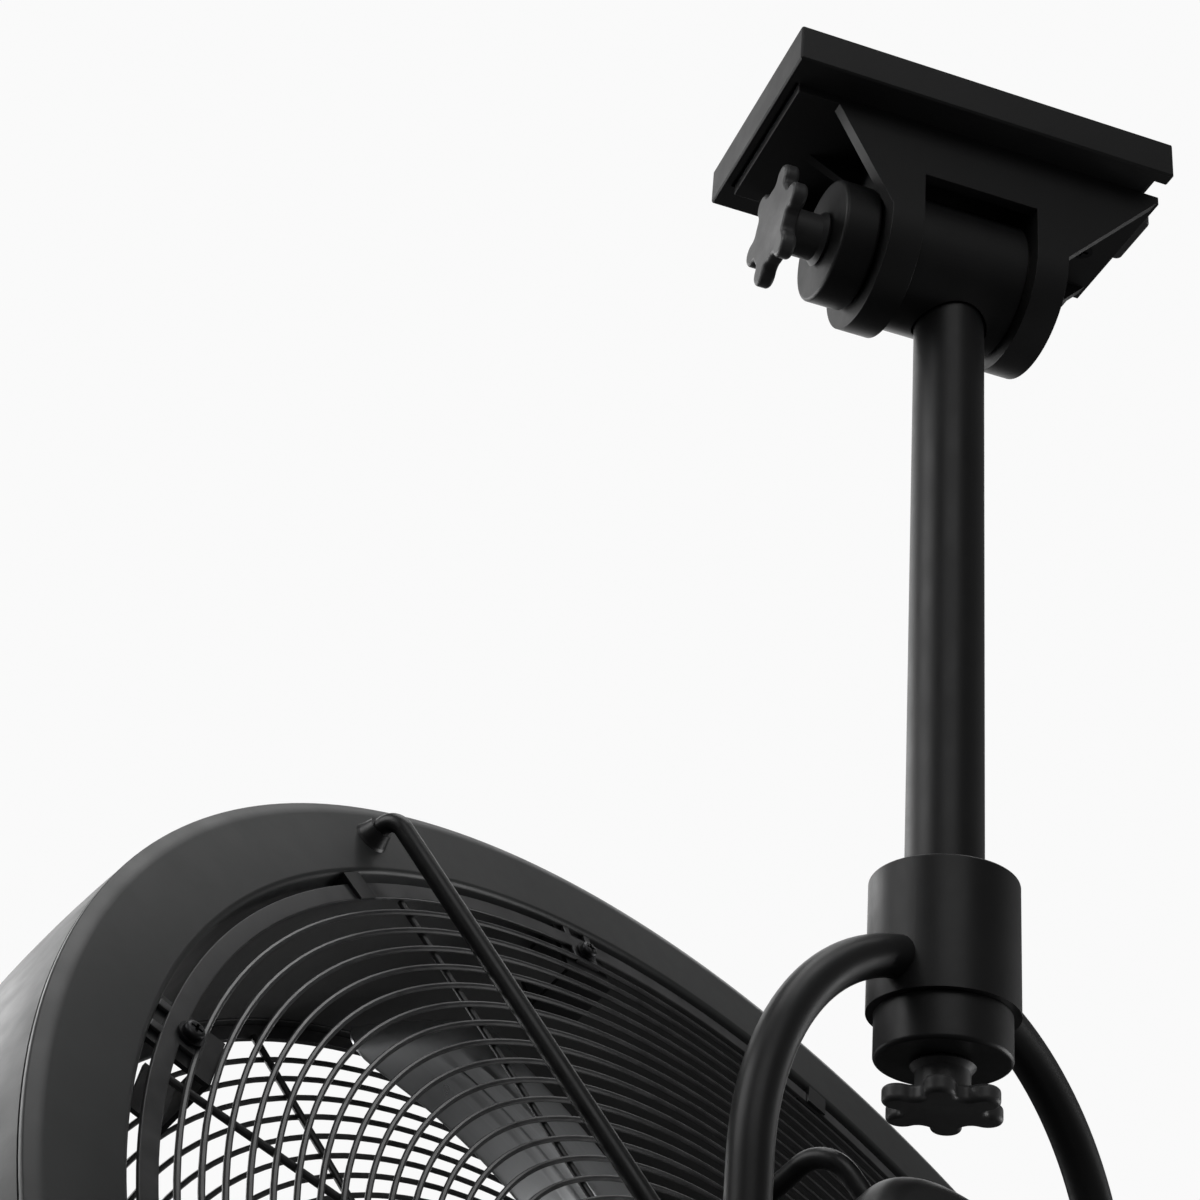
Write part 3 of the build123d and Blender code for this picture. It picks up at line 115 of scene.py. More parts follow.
class GuardSizes(bpy.types.PropertyGroup):
    wire: FloatProperty(
        name="Ring Wire", description="Radius of the ring wires", default=0.0011, unit="LENGTH")
    spoke_wire: FloatProperty(
        name="Spoke Wire", description="Radius of the rear guard's spokes",
        default=0.0013, unit="LENGTH")
    spokes: IntProperty(name="Spokes", description="Spokes in each guard", default=8)
    spoke_angle: FloatProperty(
        name="Spoke Angle", description="Direction of the first spoke",
        default=radians(114.3), subtype="ANGLE")
    rear_height: FloatProperty(
        name="Rear Height", description="Middle of the rear rings", default=-0.062, unit="LENGTH")
    rear_radius: FloatProperty(
        name="Rear Outer Ring", description="Radius of the largest rear ring",
        default=0.253, unit="LENGTH")
    rear_pitch: FloatProperty(
        name="Rear Pitch", description="Step between rear rings", default=0.00855, unit="LENGTH")
    rear_rings: IntProperty(name="Rear Rings", description="Rings in the rear guard", default=21)
    rear_band_gap: FloatProperty(
        name="Rear Band Gap", description="From the largest rear ring to the flat band around it",
        default=0.0064, unit="LENGTH")
    rear_band_width: FloatProperty(
        name="Rear Band Width", description="Width of the rear band", default=0.0071, unit="LENGTH")
    hub_hole: FloatProperty(
        name="Hub Ring Hole", description="Radius of the hole in the rear guard's hub ring",
        default=0.022, unit="LENGTH")
    hub_radius: FloatProperty(
        name="Hub Ring", description="Outer radius of the rear guard's hub ring",
        default=0.0765, unit="LENGTH")
    front_height: FloatProperty(
        name="Front Height", description="Middle of the front rings",
        default=-0.1503, unit="LENGTH")
    front_radius: FloatProperty(
        name="Front Outer Ring", description="Radius of the largest front ring",
        default=0.2542, unit="LENGTH")
    front_pitch: FloatProperty(
        name="Front Pitch", description="Step between front rings", default=0.009, unit="LENGTH")
    front_rings: IntProperty(name="Front Rings", description="Rings in the front guard", default=23)
    front_band_gap: FloatProperty(
        name="Front Band Gap", description="From the largest front ring to the flat band around it",
        default=0.0094, unit="LENGTH")
    front_band_width: FloatProperty(
        name="Front Band Width", description="Width of the front band",
        default=0.0066, unit="LENGTH")
    plate_radius: FloatProperty(
        name="Centre Plate", description="Radius of the front guard's centre plate",
        default=0.0505, unit="LENGTH")
    stations: IntProperty(name="Screw Stations", description="Screws round each guard", default=6)
    station_angle: FloatProperty(
        name="Station Angle", description="Direction of the first screw",
        default=radians(90.6), subtype="ANGLE")
    station_gap: FloatProperty(
        name="Station Gap", description="Turn from the first screw to the second",
        default=radians(64), subtype="ANGLE")


class BladeSizes(bpy.types.PropertyGroup):
    count: IntProperty(name="Blades", description="Number of blades", default=4)
    thickness: FloatProperty(
        name="Thickness", description="Sheet thickness of a blade", default=0.0018, unit="LENGTH")
    root_radius: FloatProperty(
        name="Root Radius", description="Where a blade starts", default=0.046, unit="LENGTH")
    tip_radius: FloatProperty(
        name="Tip Radius", description="Where a blade ends", default=0.255, unit="LENGTH")
    root_chord: FloatProperty(
        name="Root Chord", description="Width at the root", default=0.040, unit="LENGTH")
    full_chord: FloatProperty(
        name="Full Chord", description="Width near the tip", default=0.078, unit="LENGTH")
    root_angle: FloatProperty(
        name="Root Angle", description="Direction of the first blade's root",
        default=radians(60.2), subtype="ANGLE")
    sweep: FloatProperty(
        name="Sweep", description="Turn of the middle line from root to tip",
        default=radians(43.6), subtype="ANGLE")
    rake: FloatProperty(
        name="Rake", description="Height between a blade's two long edges",
        default=0.021, unit="LENGTH")
    camber: FloatProperty(
        name="Camber", description="Arch of a blade across its width",
        default=0.0035, unit="LENGTH")
    middle_height: FloatProperty(
        name="Middle Height", description="Height of the blades on the drum's axis",
        default=-0.1205, unit="LENGTH")
    rib_height: FloatProperty(
        name="Rib Height", description="Height of the two pressed ribs",
        default=0.0012, unit="LENGTH")


class FinishColours(bpy.types.PropertyGroup):
    drum: FloatVectorProperty(
        name="Drum Coat", description="Powder coat on the drum",
        default=(0.032, 0.033, 0.033), size=3, subtype="COLOR")
    # Painted light: the inner wall carries the drum's coat, made three times lighter here to stand for the light
    # that comes in through the front guard
    liner_with_painted_light: FloatVectorProperty(
        name="Liner Coat", description="Coat on the drum's inner wall",
        default=(0.10, 0.10, 0.10), size=3, subtype="COLOR")
    mount: FloatVectorProperty(
        name="Mount Coat", description="Powder coat on the ceiling mount and the motor",
        default=(0.014, 0.014, 0.0145), size=3, subtype="COLOR")
    pole: FloatVectorProperty(
        name="Pole Coat", description="Coat on the pole, collar and yoke",
        default=(0.014, 0.014, 0.0145), size=3, subtype="COLOR")
    wire: FloatVectorProperty(
        name="Wire Coat", description="Dipped coat on the guards",
        default=(0.040, 0.040, 0.041), size=3, subtype="COLOR")
    rod: FloatVectorProperty(
        name="Rod Coat", description="Dipped coat on the rods, clips and brackets",
        default=(0.008, 0.008, 0.0085), size=3, subtype="COLOR")
    blade: FloatVectorProperty(
        name="Blade Metal", description="Brushed blades",
        default=(0.60, 0.61, 0.62), size=3, subtype="COLOR")
    knob: FloatVectorProperty(
        name="Knob Plastic", description="Moulded knobs",
        default=(0.060, 0.060, 0.061), size=3, subtype="COLOR")
    trim: FloatVectorProperty(
        name="Trim Plastic", description="Moulded trim",
        default=(0.005, 0.005, 0.005), size=3, subtype="COLOR")
    screw: FloatVectorProperty(
        name="Screw Steel", description="Dark plating on the screws",
        default=(0.05, 0.05, 0.052), size=3, subtype="COLOR")
    steel: FloatVectorProperty(
        name="Plain Steel", description="Bare steel",
        default=(0.52, 0.52, 0.53), size=3, subtype="COLOR")
    bearing: FloatVectorProperty(
        name="Bearing Steel", description="Ground races and balls",
        default=(0.7, 0.7, 0.71), size=3, subtype="COLOR")
    bush: FloatVectorProperty(
        name="Bush Plastic", description="Plain bearings of moulded plastic",
        default=(0.72, 0.71, 0.66), size=3, subtype="COLOR")
    core: FloatVectorProperty(
        name="Core Steel", description="Stacked sheets of the motor's core",
        default=(0.3, 0.3, 0.31), size=3, subtype="COLOR")
    copper: FloatVectorProperty(
        name="Copper", description="Varnished windings",
        default=(0.62, 0.27, 0.10), size=3, subtype="COLOR")
    can: FloatVectorProperty(
        name="Can Metal", description="Drawn can of the capacitor",
        default=(0.6, 0.6, 0.61), size=3, subtype="COLOR")


class StageSettings(bpy.types.PropertyGroup):
    eye: FloatVectorProperty(
        name="Eye", description="Place of the camera",
        default=(-0.35399, -0.71886, -0.72086), size=3, subtype="TRANSLATION")
    yaw: FloatProperty(
        name="Yaw", description="Camera turn to the right",
        default=radians(16.787), subtype="ANGLE")
    pitch: FloatProperty(
        name="Pitch", description="Camera turn upwards", default=radians(31.494), subtype="ANGLE")
    roll: FloatProperty(
        name="Roll", description="Camera turn about its view",
        default=radians(5.410), subtype="ANGLE")
    lens: FloatProperty(
        name="Lens", description="Focal length in millimetres", default=73.695)
    sensor: FloatProperty(
        name="Sensor", description="Sensor width in millimetres", default=36.0)
    backdrop: FloatVectorProperty(
        name="Backdrop", description="Colour of floor and background",
        default=(0.955, 0.955, 0.955), size=3, subtype="COLOR")
    dim: FloatProperty(
        name="Room Light", description="Light from the room around the fan", default=0.11)
    floor_size: FloatProperty(
        name="Floor Size", description="Side of the square floor", default=12, unit="LENGTH")
    floor_height: FloatProperty(
        name="Floor Height", description="Height of the floor, far below the fan",
        default=-2.2, unit="LENGTH")
    floor_glow: FloatProperty(
        name="Floor Glow", description="Brightness that the camera sees on the unlit floor",
        default=0.82)


GROUPS = {
    "fan_drum": DrumSizes,
    "fan_guard": GuardSizes,
    "fan_blade": BladeSizes,
    "fan_finish": FinishColours,
    "fan_stage": StageSettings,
}


# How finely round shapes are divided

LATHE_STEPS = 256
BAND_STEPS = 240
RING_STEPS = 160
RING_SIDES = 8
SPOKE_SIDES = 12
PLATE_SIDES = 96
WALL_STEPS = 14


# Modelling helpers


def clear_selection():
    bpy.ops.object.select_all(action="DESELECT")


def edit(*steps):
    """Runs edit mode steps on the active piece."""
    bpy.ops.object.mode_set(mode="EDIT")
    bpy.ops.mesh.select_all(action="SELECT")
    for step in steps:
        step()
    bpy.ops.object.mode_set(mode="OBJECT")


def recalculate():
    bpy.ops.mesh.normals_make_consistent(inside=False)


def merge_points():
    bpy.ops.mesh.remove_doubles(threshold=1e-6)


def rounded(corners, steps=6):
    """A closed outline of radius and height pairs. Each corner is x, z and the radius that rounds it."""
    outline = []
    count = len(corners)
    for k, (x, z, radius) in enumerate(corners):
        here = Vector((x, z))
        before = Vector(corners[k - 1][:2])
        after = Vector(corners[(k + 1) % count][:2])
        come = (before - here).normalized()
        go = (after - here).normalized()
        half = come.angle(go) / 2
        reach = radius / sin(half) * cos(half)
        centre = here + (come + go).normalized() * radius / sin(half)
        start = here + come * reach - centre
        turn = pi - 2 * half
        way = 1 if come.x * go.y - come.y * go.x < 0 else -1
        for s in range(steps + 1):
            angle = way * turn * s / steps
            arm_x = start.x * cos(angle) - start.y * sin(angle)
            arm_y = start.x * sin(angle) + start.y * cos(angle)
            outline.append((centre.x + arm_x, centre.y + arm_y))
    return outline


def lathe(outline, steps=LATHE_STEPS):
    """Spins a closed outline about the Z axis."""
    clear_selection()
    bpy.ops.mesh.primitive_circle_add(vertices=len(outline))
    piece = bpy.context.object
    for vertex, (radius, height) in zip(piece.data.vertices, outline):
        vertex.co = (radius, 0, height)
    edit(
        lambda: bpy.ops.mesh.spin(steps=steps, angle=2 * pi, center=(0, 0, 0), axis=(0, 0, 1)),
        lambda: bpy.ops.mesh.select_all(action="SELECT"),
        merge_points,
        recalculate,
    )
    return piece


def rounded_block(size, place, edge=0.0004):
    """A block with rounded edges."""
    clear_selection()
    bpy.ops.mesh.primitive_cube_add(size=1, location=place, scale=size)
    block = bpy.context.object
    bpy.ops.object.transform_apply(location=False, rotation=False, scale=True)
    bevel(block, edge)
    return block


def bevel(piece, width, angle=35):
    """Rounds the edges at which the piece turns by more than the angle, in degrees."""
    modifier = piece.modifiers.new("Rounded Edges", "BEVEL")
    modifier.width = width
    modifier.segments = 2
    modifier.limit_method = "ANGLE"
    modifier.angle_limit = radians(angle)
    apply_modifier(piece, modifier)


def apply_modifier(piece, modifier):
    bpy.context.view_layer.objects.active = piece
    bpy.ops.object.modifier_apply(modifier=modifier.name)


def join(pieces):
    clear_selection()
    for piece in pieces:
        piece.select_set(True)
    bpy.context.view_layer.objects.active = pieces[0]
    bpy.ops.object.join()
    return bpy.context.object


def copy_at(piece, turns):
    """Copies of the piece, turned about the Z axis. Each copy has its own mesh."""
    copies = []
    for turn in turns:
        twin = piece.copy()
        twin.data = piece.data.copy()
        bpy.context.collection.objects.link(twin)
        twin.matrix_world = Matrix.Rotation(turn, 4, "Z") @ piece.matrix_world
        copies.append(twin)
    bpy.data.objects.remove(piece)
    return copies


def even_turns(count, start=0.0):
    """Directions spread evenly about the Z axis."""
    return [start + 2 * pi * k / count for k in range(count)]


def settle(piece, name, body, slot, node, place=HEAD, smooth=30):
    """Puts a finished piece in its node's place, with its finish, and lets it ride on its body."""
    clear_selection()
    piece.select_set(True)
    bpy.context.view_layer.objects.active = piece
    piece.matrix_world = place @ piece.matrix_world
    bpy.ops.object.transform_apply(location=True, rotation=True, scale=True)
    bpy.ops.object.shade_smooth_by_angle(angle=radians(smooth))
    weigh = piece.modifiers.new("Flat Faces", "WEIGHTED_NORMAL")
    weigh.keep_sharp = True
    apply_modifier(piece, weigh)
    piece.name = name
    piece.data.name = name
    piece.data.materials.clear()
    piece.data.materials.append(finish(slot))
    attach(piece, body)
    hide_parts(node)


def softened(node, width, body, slot):
    """Stands for a hard-edged node with a copy whose edges are rounded."""
    clear_selection()
    name = node + "_cast"
    piece = bpy.data.objects.new(name, frame["nodes"][node].data.copy())
    bpy.context.collection.objects.link(piece)
    piece.select_set(True)
    bpy.context.view_layer.objects.active = piece
    edit(merge_points, lambda: bpy.ops.mesh.dissolve_limited(angle_limit=radians(0.6)))
    bevel(piece, width, angle=30)
    settle(piece, name, body, slot, node, place=Matrix.Identity(4), smooth=35)


# Finishes


class Recipe:
    """A node tree that is put together one node at a time."""

    def __init__(self, name):
        self.material = bpy.data.materials.new(name)
        self.material.use_nodes = True
        self.tree = self.material.node_tree
        self.shader = self.tree.nodes["Principled BSDF"]

    def node(self, kind, **values):
        made = self.tree.nodes.new(kind)
        for key, value in values.items():
            setattr(made, key, value)
        return made

    def link(self, start, end):
        self.tree.links.new(start, end)

    def coordinates(self):
        return self.node("ShaderNodeTexCoord").outputs["Object"]

    def noise(self, vector, scale, detail=3.0, rough=0.5):
        made = self.node("ShaderNodeTexNoise")
        made.inputs["Scale"].default_value = scale
        made.inputs["Detail"].default_value = detail
        made.inputs["Roughness"].default_value = rough
        self.link(vector, made.inputs["Vector"])
        return made.outputs["Fac"]

    def span(self, value, low=0.0, high=1.0, start=0.3, end=0.7):
        """Spreads a texture's range from start to end over low to high."""
        made = self.node("ShaderNodeMapRange")
        made.inputs["From Min"].default_value = start
        made.inputs["From Max"].default_value = end
        made.inputs["To Min"].default_value = low
        made.inputs["To Max"].default_value = high
        self.link(value, made.inputs["Value"])
        return made.outputs["Result"]

    def mix(self, factor, first, second):
        """Mixes a colour with a second colour or with a socket's colour."""
        made = self.node("ShaderNodeMix", data_type="RGBA")
        made.inputs["A"].default_value = (*first, 1)
        if hasattr(second, "links"):
            self.link(second, made.inputs["B"])
        else:
            made.inputs["B"].default_value = (*second, 1)
        self.link(factor, made.inputs["Factor"])
        return made.outputs["Result"]

    def bump(self, height, strength, distance, below=None):
        made = self.node("ShaderNodeBump")
        made.inputs["Strength"].default_value = strength
        made.inputs["Distance"].default_value = distance
        self.link(height, made.inputs["Height"])
        if below is not None:
            self.link(below, made.inputs["Normal"])
        return made.outputs["Normal"]

    def set(self, **values):
        for key, value in values.items():
            self.shader.inputs[key.replace("_", " ")].default_value = value

    def feed(self, socket, output):
        self.link(output, self.shader.inputs[socket])

    def tint(self, factor, colour, darkest, lightest):
        """Lets the base colour waver between two shades of one colour."""
        tone = self.mix(factor, shade(colour, darkest), shade(colour, lightest))
        self.feed("Base Color", tone)


def shade(colour, factor):
    return tuple(min(1.0, c * factor) for c in colour)


def powder_coat(name, colour, roughness, peel, depth=0.00006):
    """Baked powder coat: orange peel, faint cloudiness and a slightly uneven gloss."""
    r = Recipe(name)
    where = r.coordinates()
    cloud = r.noise(where, scale=14.0, detail=4.0)
    r.tint(r.span(cloud), colour, darkest=0.86, lightest=1.16)
    gloss = r.noise(where, scale=60.0, rough=0.6)
    r.feed("Roughness", r.span(gloss, roughness - 0.04, roughness + 0.05))
    dimples = r.noise(where, scale=peel, detail=2.0, rough=0.45)
    grit = r.noise(where, scale=peel * 3.3, detail=2.0, rough=0.6)
    dimpled = r.bump(dimples, strength=0.35, distance=depth)
    r.feed("Normal", r.bump(grit, strength=0.15, distance=depth / 3, below=dimpled))
    r.set(Specular_IOR_Level=0.4)
    return r.material


def moulded_plastic(name, colour, roughness=0.45):
    """Moulded plastic with a fine spark-eroded texture and a few rubbed spots."""
    r = Recipe(name)
    where = r.coordinates()
    rubbed = r.noise(where, scale=38.0, detail=5.0, rough=0.65)
    r.tint(r.span(rubbed, start=0.45, end=0.75), colour, darkest=0.9, lightest=1.35)
    r.feed("Roughness", r.span(rubbed, roughness + 0.06, roughness - 0.08))
    cells = r.node("ShaderNodeTexVoronoi")
    cells.inputs["Scale"].default_value = 1500.0
    r.link(where, cells.inputs["Vector"])
    pitted = r.bump(cells.outputs["Distance"], strength=0.3, distance=0.00005)
    fine = r.noise(where, scale=3200.0, detail=2.0)
    r.feed("Normal", r.bump(fine, strength=0.2, distance=0.00003, below=pitted))
    r.set(Specular_IOR_Level=0.45)
    return r.material


def dipped_wire(name, colour):
    """Dipped coating on wire: smooth, a little thicker in places."""
    r = Recipe(name)
    where = r.coordinates()
    thick = r.noise(where, scale=120.0)
    r.tint(r.span(thick), colour, darkest=0.8, lightest=1.3)
    r.feed("Roughness", r.span(thick, 0.3, 0.42))
    ripples = r.noise(where, scale=700.0, detail=2.0)
    r.feed("Normal", r.bump(ripples, strength=0.3, distance=0.00006))
    r.set(Specular_IOR_Level=0.5)
    return r.material


def brushed_sheet(name, colour):
    """Sheet metal brushed along its length, with soft smudges."""
    r = Recipe(name)
    stretch = r.node("ShaderNodeMapping")
    stretch.inputs["Scale"].default_value = (3.0, 260.0, 1.0)
    r.link(r.node("ShaderNodeTexCoord").outputs["UV"], stretch.inputs["Vector"])
    grain = r.noise(stretch.outputs["Vector"], scale=1.0, detail=4.0, rough=0.6)
    smudge = r.noise(r.coordinates(), scale=22.0, detail=4.0, rough=0.6)
    r.tint(r.span(grain), colour, darkest=0.9, lightest=1.08)
    r.feed("Roughness", r.span(smudge, 0.26, 0.42))
    r.feed("Normal", r.bump(grain, strength=0.12, distance=0.00005))
    r.set(Metallic=1.0, Anisotropic=0.4)
    return r.material


def machined_steel(name, colour, roughness=0.3):
    """Plated or machined metal with fine tool marks and faint tarnish."""
    r = Recipe(name)
    where = r.coordinates()
    marks = r.noise(where, scale=1400.0, detail=2.0, rough=0.6)
    tarnish = r.noise(where, scale=70.0, detail=5.0, rough=0.6)
    r.tint(r.span(tarnish), colour, darkest=0.8, lightest=1.1)
    r.feed("Roughness", r.span(marks, roughness - 0.06, roughness + 0.1))
    r.feed("Normal", r.bump(marks, strength=0.15, distance=0.00003))
    r.set(Metallic=1.0)
    return r.material


def along_axis(r, pitch):
    """A wave that repeats along the drum's axis."""
    dot = r.node("ShaderNodeVectorMath", operation="DOT_PRODUCT")
    dot.inputs[1].default_value = HEAD_AXIS
    r.link(r.coordinates(), dot.inputs[0])
    scaled = r.node("ShaderNodeMath", operation="MULTIPLY")
    scaled.inputs[1].default_value = 2 * pi / pitch
    r.link(dot.outputs["Value"], scaled.inputs[0])
    wave = r.node("ShaderNodeMath", operation="SINE")
    r.link(scaled.outputs["Value"], wave.inputs[0])
    return wave.outputs["Value"]


def stacked_sheets(name, colour):
    """Edges of stamped sheets in a motor core."""
    r = Recipe(name)
    wave = along_axis(r, pitch=0.001)
    r.tint(r.span(wave, start=-1.0, end=1.0), colour, darkest=0.6, lightest=1.1)
    r.feed("Normal", r.bump(wave, strength=0.5, distance=0.0001))
    r.feed("Roughness", r.span(r.noise(r.coordinates(), scale=200.0), 0.35, 0.55))
    r.set(Metallic=1.0)
    return r.material


def copper_turns(name, colour):
    """Varnished copper wire, laid in turns."""
    r = Recipe(name)
    where = r.coordinates()
    wave = r.node("ShaderNodeTexWave", wave_type="RINGS", rings_direction="SPHERICAL")
    wave.inputs["Scale"].default_value = 420.0
    wave.inputs["Distortion"].default_value = 1.5
    r.link(where, wave.inputs["Vector"])
    turns = wave.outputs["Fac"]
    r.tint(turns, colour, darkest=0.5, lightest=1.1)
    r.feed("Normal", r.bump(turns, strength=0.6, distance=0.0004))
    r.feed("Roughness", r.span(r.noise(where, scale=90.0), 0.25, 0.4))
    r.set(Metallic=0.85, Coat_Weight=0.4, Coat_Roughness=0.2)
    return r.material


def finishes():
    """How each material slot's finish is made, in which colour and with which values."""
    colours = bpy.context.scene.fan_finish
    return {
        "mount_paint": (powder_coat, colours.mount, dict(roughness=0.46, peel=1100.0)),
        "motor_paint": (powder_coat, colours.mount, dict(roughness=0.44, peel=1000.0)),
        "pole_paint": (powder_coat, colours.pole, dict(roughness=0.4, peel=1300.0, depth=0.00004)),
        "drum_paint": (powder_coat, colours.drum, dict(roughness=0.4, peel=800.0, depth=0.00005)),
        # The liner's finish is the drum's powder coat in a lighter colour: painted light on the inner wall
        "liner_paint_with_painted_light": (powder_coat, colours.liner_with_painted_light, dict(roughness=0.5, peel=800.0, depth=0.00005)),
        "guard_paint": (dipped_wire, colours.wire, {}),
        "rod_paint": (dipped_wire, colours.rod, {}),
        "blade_metal": (brushed_sheet, colours.blade, {}),
        "knob_plastic": (moulded_plastic, colours.knob, {}),
        "trim_plastic": (moulded_plastic, colours.trim, dict(roughness=0.5)),
        "bearing_plastic": (moulded_plastic, colours.bush, dict(roughness=0.5)),
        "dark_screws": (machined_steel, colours.screw, dict(roughness=0.38)),
        "plain_steel": (machined_steel, colours.steel, {}),
        "bearing_steel": (machined_steel, colours.bearing, dict(roughness=0.15)),
        "can_metal": (machined_steel, colours.can, dict(roughness=0.35)),
        "core_steel": (stacked_sheets, colours.core, {}),
        "winding_copper": (copper_turns, colours.copper, {}),
    }


def finish(slot):
    """The slot's material, which is made when it is first asked for."""
    name = "fan_" + slot
    found = bpy.data.materials.get(name)
    if found:
        return found
    maker, colour, values = finishes()[slot]
    return maker(name, colour, **values)


# The drum: radii that round the corners of its sheet

FACE_BEND = 0.012
OUTER_BEND = 0.0008
ROLLED_EDGE = 0.0006
CUT_EDGE = 0.0003
FINE_EDGE = 0.0002


def rim_outline(face, inward):
    """Section of a rim: a flat face, a leaning outer edge, a rolled inner edge and two skirts."""
    drum = bpy.context.scene.fan_drum
    outer = drum.outer_radius
    opening = drum.opening_radius
    back = face + inward * drum.skirt
    lean = face + inward * drum.edge_drop
    short = face + inward * drum.outer_skirt
    inside = face + inward * drum.sheet
    return rounded([
        (opening, back, ROLLED_EDGE),
        (opening, face, drum.inner_roll),
        (outer - drum.edge_width, face, FACE_BEND),
        (outer, lean, OUTER_BEND),
        (outer, short, CUT_EDGE),
        (outer - drum.sheet, short, FINE_EDGE),
        (outer - drum.sheet, inside, CUT_EDGE),
        (opening + drum.sheet, inside, ROLLED_EDGE),
        (opening + drum.sheet, back, CUT_EDGE),
    ])


def wall_outline(low, high):
    """Section of the outer wall, which swells a little at its middle."""
    drum = bpy.context.scene.fan_drum
    outside = []
    inside = []
    for k in range(WALL_STEPS + 1):
        share = k / WALL_STEPS
        height = low + share * (high - low)
        radius = drum.outer_radius + drum.crown * (1 - (2 * share - 1) ** 2)
        outside.append((radius, height))
        inside.append((radius - drum.sheet, height))
    return outside + inside[::-1]


def build_drum():
    drum = bpy.context.scene.fan_drum
    front_face = drum.rear_face - drum.depth
    margin = drum.outer_skirt + drum.groove
    rear = lathe(rim_outline(drum.rear_face, -1))
    settle(rear, "rear_rim", "head", "drum_paint", "rear_bezel")
    front = lathe(rim_outline(front_face, 1))
    settle(front, "front_rim", "head", "drum_paint", "front_bezel")
    wall = lathe(wall_outline(front_face + margin, drum.rear_face - margin))
    settle(wall, "drum_wall", "head", "drum_paint", "drum_shell")


# The guards' flat parts, and how far one part reaches over the next

PLATE_EDGE = 0.0005
REAR_THICKNESS = 0.0016
REAR_SHIFT = 0.0003
HUB_THICKNESS = 0.0018
FRONT_THICKNESS = 0.0022
REAR_SPOKE_LAP = 0.0006
FRONT_SPOKE_LAP = 0.0004
SPOKE_ROOT_LAP = 0.0015
TAB = (0.0085, 0.013)
TAB_LAP = 0.00055
LUG = (0.0048, 0.0034)
LUG_LAP = 0.0007
LUG_SPREAD = 0.0119

# Shares of a rear spoke's radius: its height over the rings, and the size of a front spoke

SPOKE_SEAT = 0.8
FRONT_SPOKE_SHARE = 1.15


def wire_rings(radius, pitch, count, height):
    """Round wires, one inside the other, from the largest inwards."""
    rings = []
    for k in range(count):
        clear_selection()
        bpy.ops.mesh.primitive_torus_add(
            major_radius=radius - k * pitch, minor_radius=bpy.context.scene.fan_guard.wire,
            major_segments=RING_STEPS, minor_segments=RING_SIDES, location=(0, 0, height))
        rings.append(bpy.context.object)
    return rings


def wire_spokes(inner, outer, wire, height):
    """Straight wires from inner to outer, spread evenly round the guard."""
    guard = bpy.context.scene.fan_guard
    middle = (inner + outer) / 2
    spokes = []
    for angle in even_turns(guard.spokes, guard.spoke_angle):
        clear_selection()
        bpy.ops.mesh.primitive_cylinder_add(
            vertices=SPOKE_SIDES, radius=wire, depth=outer - inner,
            location=(middle * cos(angle), middle * sin(angle), height), rotation=(0, pi / 2, angle))
        spokes.append(bpy.context.object)
    return spokes


def flat_ring(inner, outer, height, thickness):
    """A flat ring with rounded edges, its middle at the height."""
    low = height - thickness / 2
    high = height + thickness / 2
    corners = [(inner, low), (outer, low), (outer, high), (inner, high)]
    return lathe(rounded([(*corner, PLATE_EDGE) for corner in corners], steps=3), BAND_STEPS)


def station_turns(guard):
    """Directions of the guard's screws. The first gap is set by itself, the others are even."""
    step = (2 * pi - guard.station_gap) / (guard.stations - 1)
    later = [guard.station_gap + k * step for k in range(guard.stations - 1)]
    return [guard.station_angle + turn for turn in (0, *later)]


def rear_tabs(guard, band, rim, height):
    """At each screw a tab inside the band and two lugs outside it."""
    tab_middle = band + TAB_LAP - TAB[0] / 2
    lug_middle = rim - LUG_LAP + LUG[0] / 2
    middles = [(tab_middle, 0, height)]
    middles += [(lug_middle, side * LUG_SPREAD / 2, height) for side in (1, -1)]
    copies = []
    for size, middle in zip((TAB, LUG, LUG), middles):
        block = rounded_block((*size, REAR_THICKNESS), middle)
        copies += copy_at(block, station_turns(guard))
    return copies


def build_rear_guard():
    guard = bpy.context.scene.fan_guard
    height = guard.rear_height
    behind = height - guard.wire - guard.spoke_wire * SPOKE_SEAT
    band = guard.rear_radius + guard.rear_band_gap
    rim = band + guard.rear_band_width
    root = guard.hub_radius - SPOKE_ROOT_LAP
    pieces = wire_rings(guard.rear_radius, guard.rear_pitch, guard.rear_rings, height)
    pieces += wire_spokes(root, band + REAR_SPOKE_LAP, guard.spoke_wire, behind)
    pieces.append(flat_ring(band, rim, height - REAR_SHIFT, REAR_THICKNESS))
    pieces.append(flat_ring(guard.hub_hole, guard.hub_radius, height, HUB_THICKNESS))
    pieces += rear_tabs(guard, band, rim, height - REAR_SHIFT)
    settle(join(pieces), "rear_wire_guard", "head", "guard_paint", "rear_guard")


def build_front_guard():
    guard = bpy.context.scene.fan_guard
    height = guard.front_height
    inside = height + guard.wire + guard.spoke_wire * SPOKE_SEAT
    band = guard.front_radius + guard.front_band_gap
    root = guard.plate_radius - SPOKE_ROOT_LAP
    spoke_wire = guard.spoke_wire * FRONT_SPOKE_SHARE
    pieces = wire_rings(guard.front_radius, guard.front_pitch, guard.front_rings, height)
    pieces += wire_spokes(root, band + FRONT_SPOKE_LAP, spoke_wire, inside)
    pieces.append(flat_ring(band, band + guard.front_band_width, height, FRONT_THICKNESS))
    pieces.append(centre_plate(guard.plate_radius, height))
    settle(join(pieces), "front_wire_guard", "head", "guard_paint", "front_guard")


# The front guard's centre plate, whose lower face is dished by two insets

PLATE_THICKNESS = 0.0018
PLATE_BORDER = 0.010
PLATE_SLOPE = 0.003
PLATE_DISH = 0.0007
FACING_DOWN = -0.9


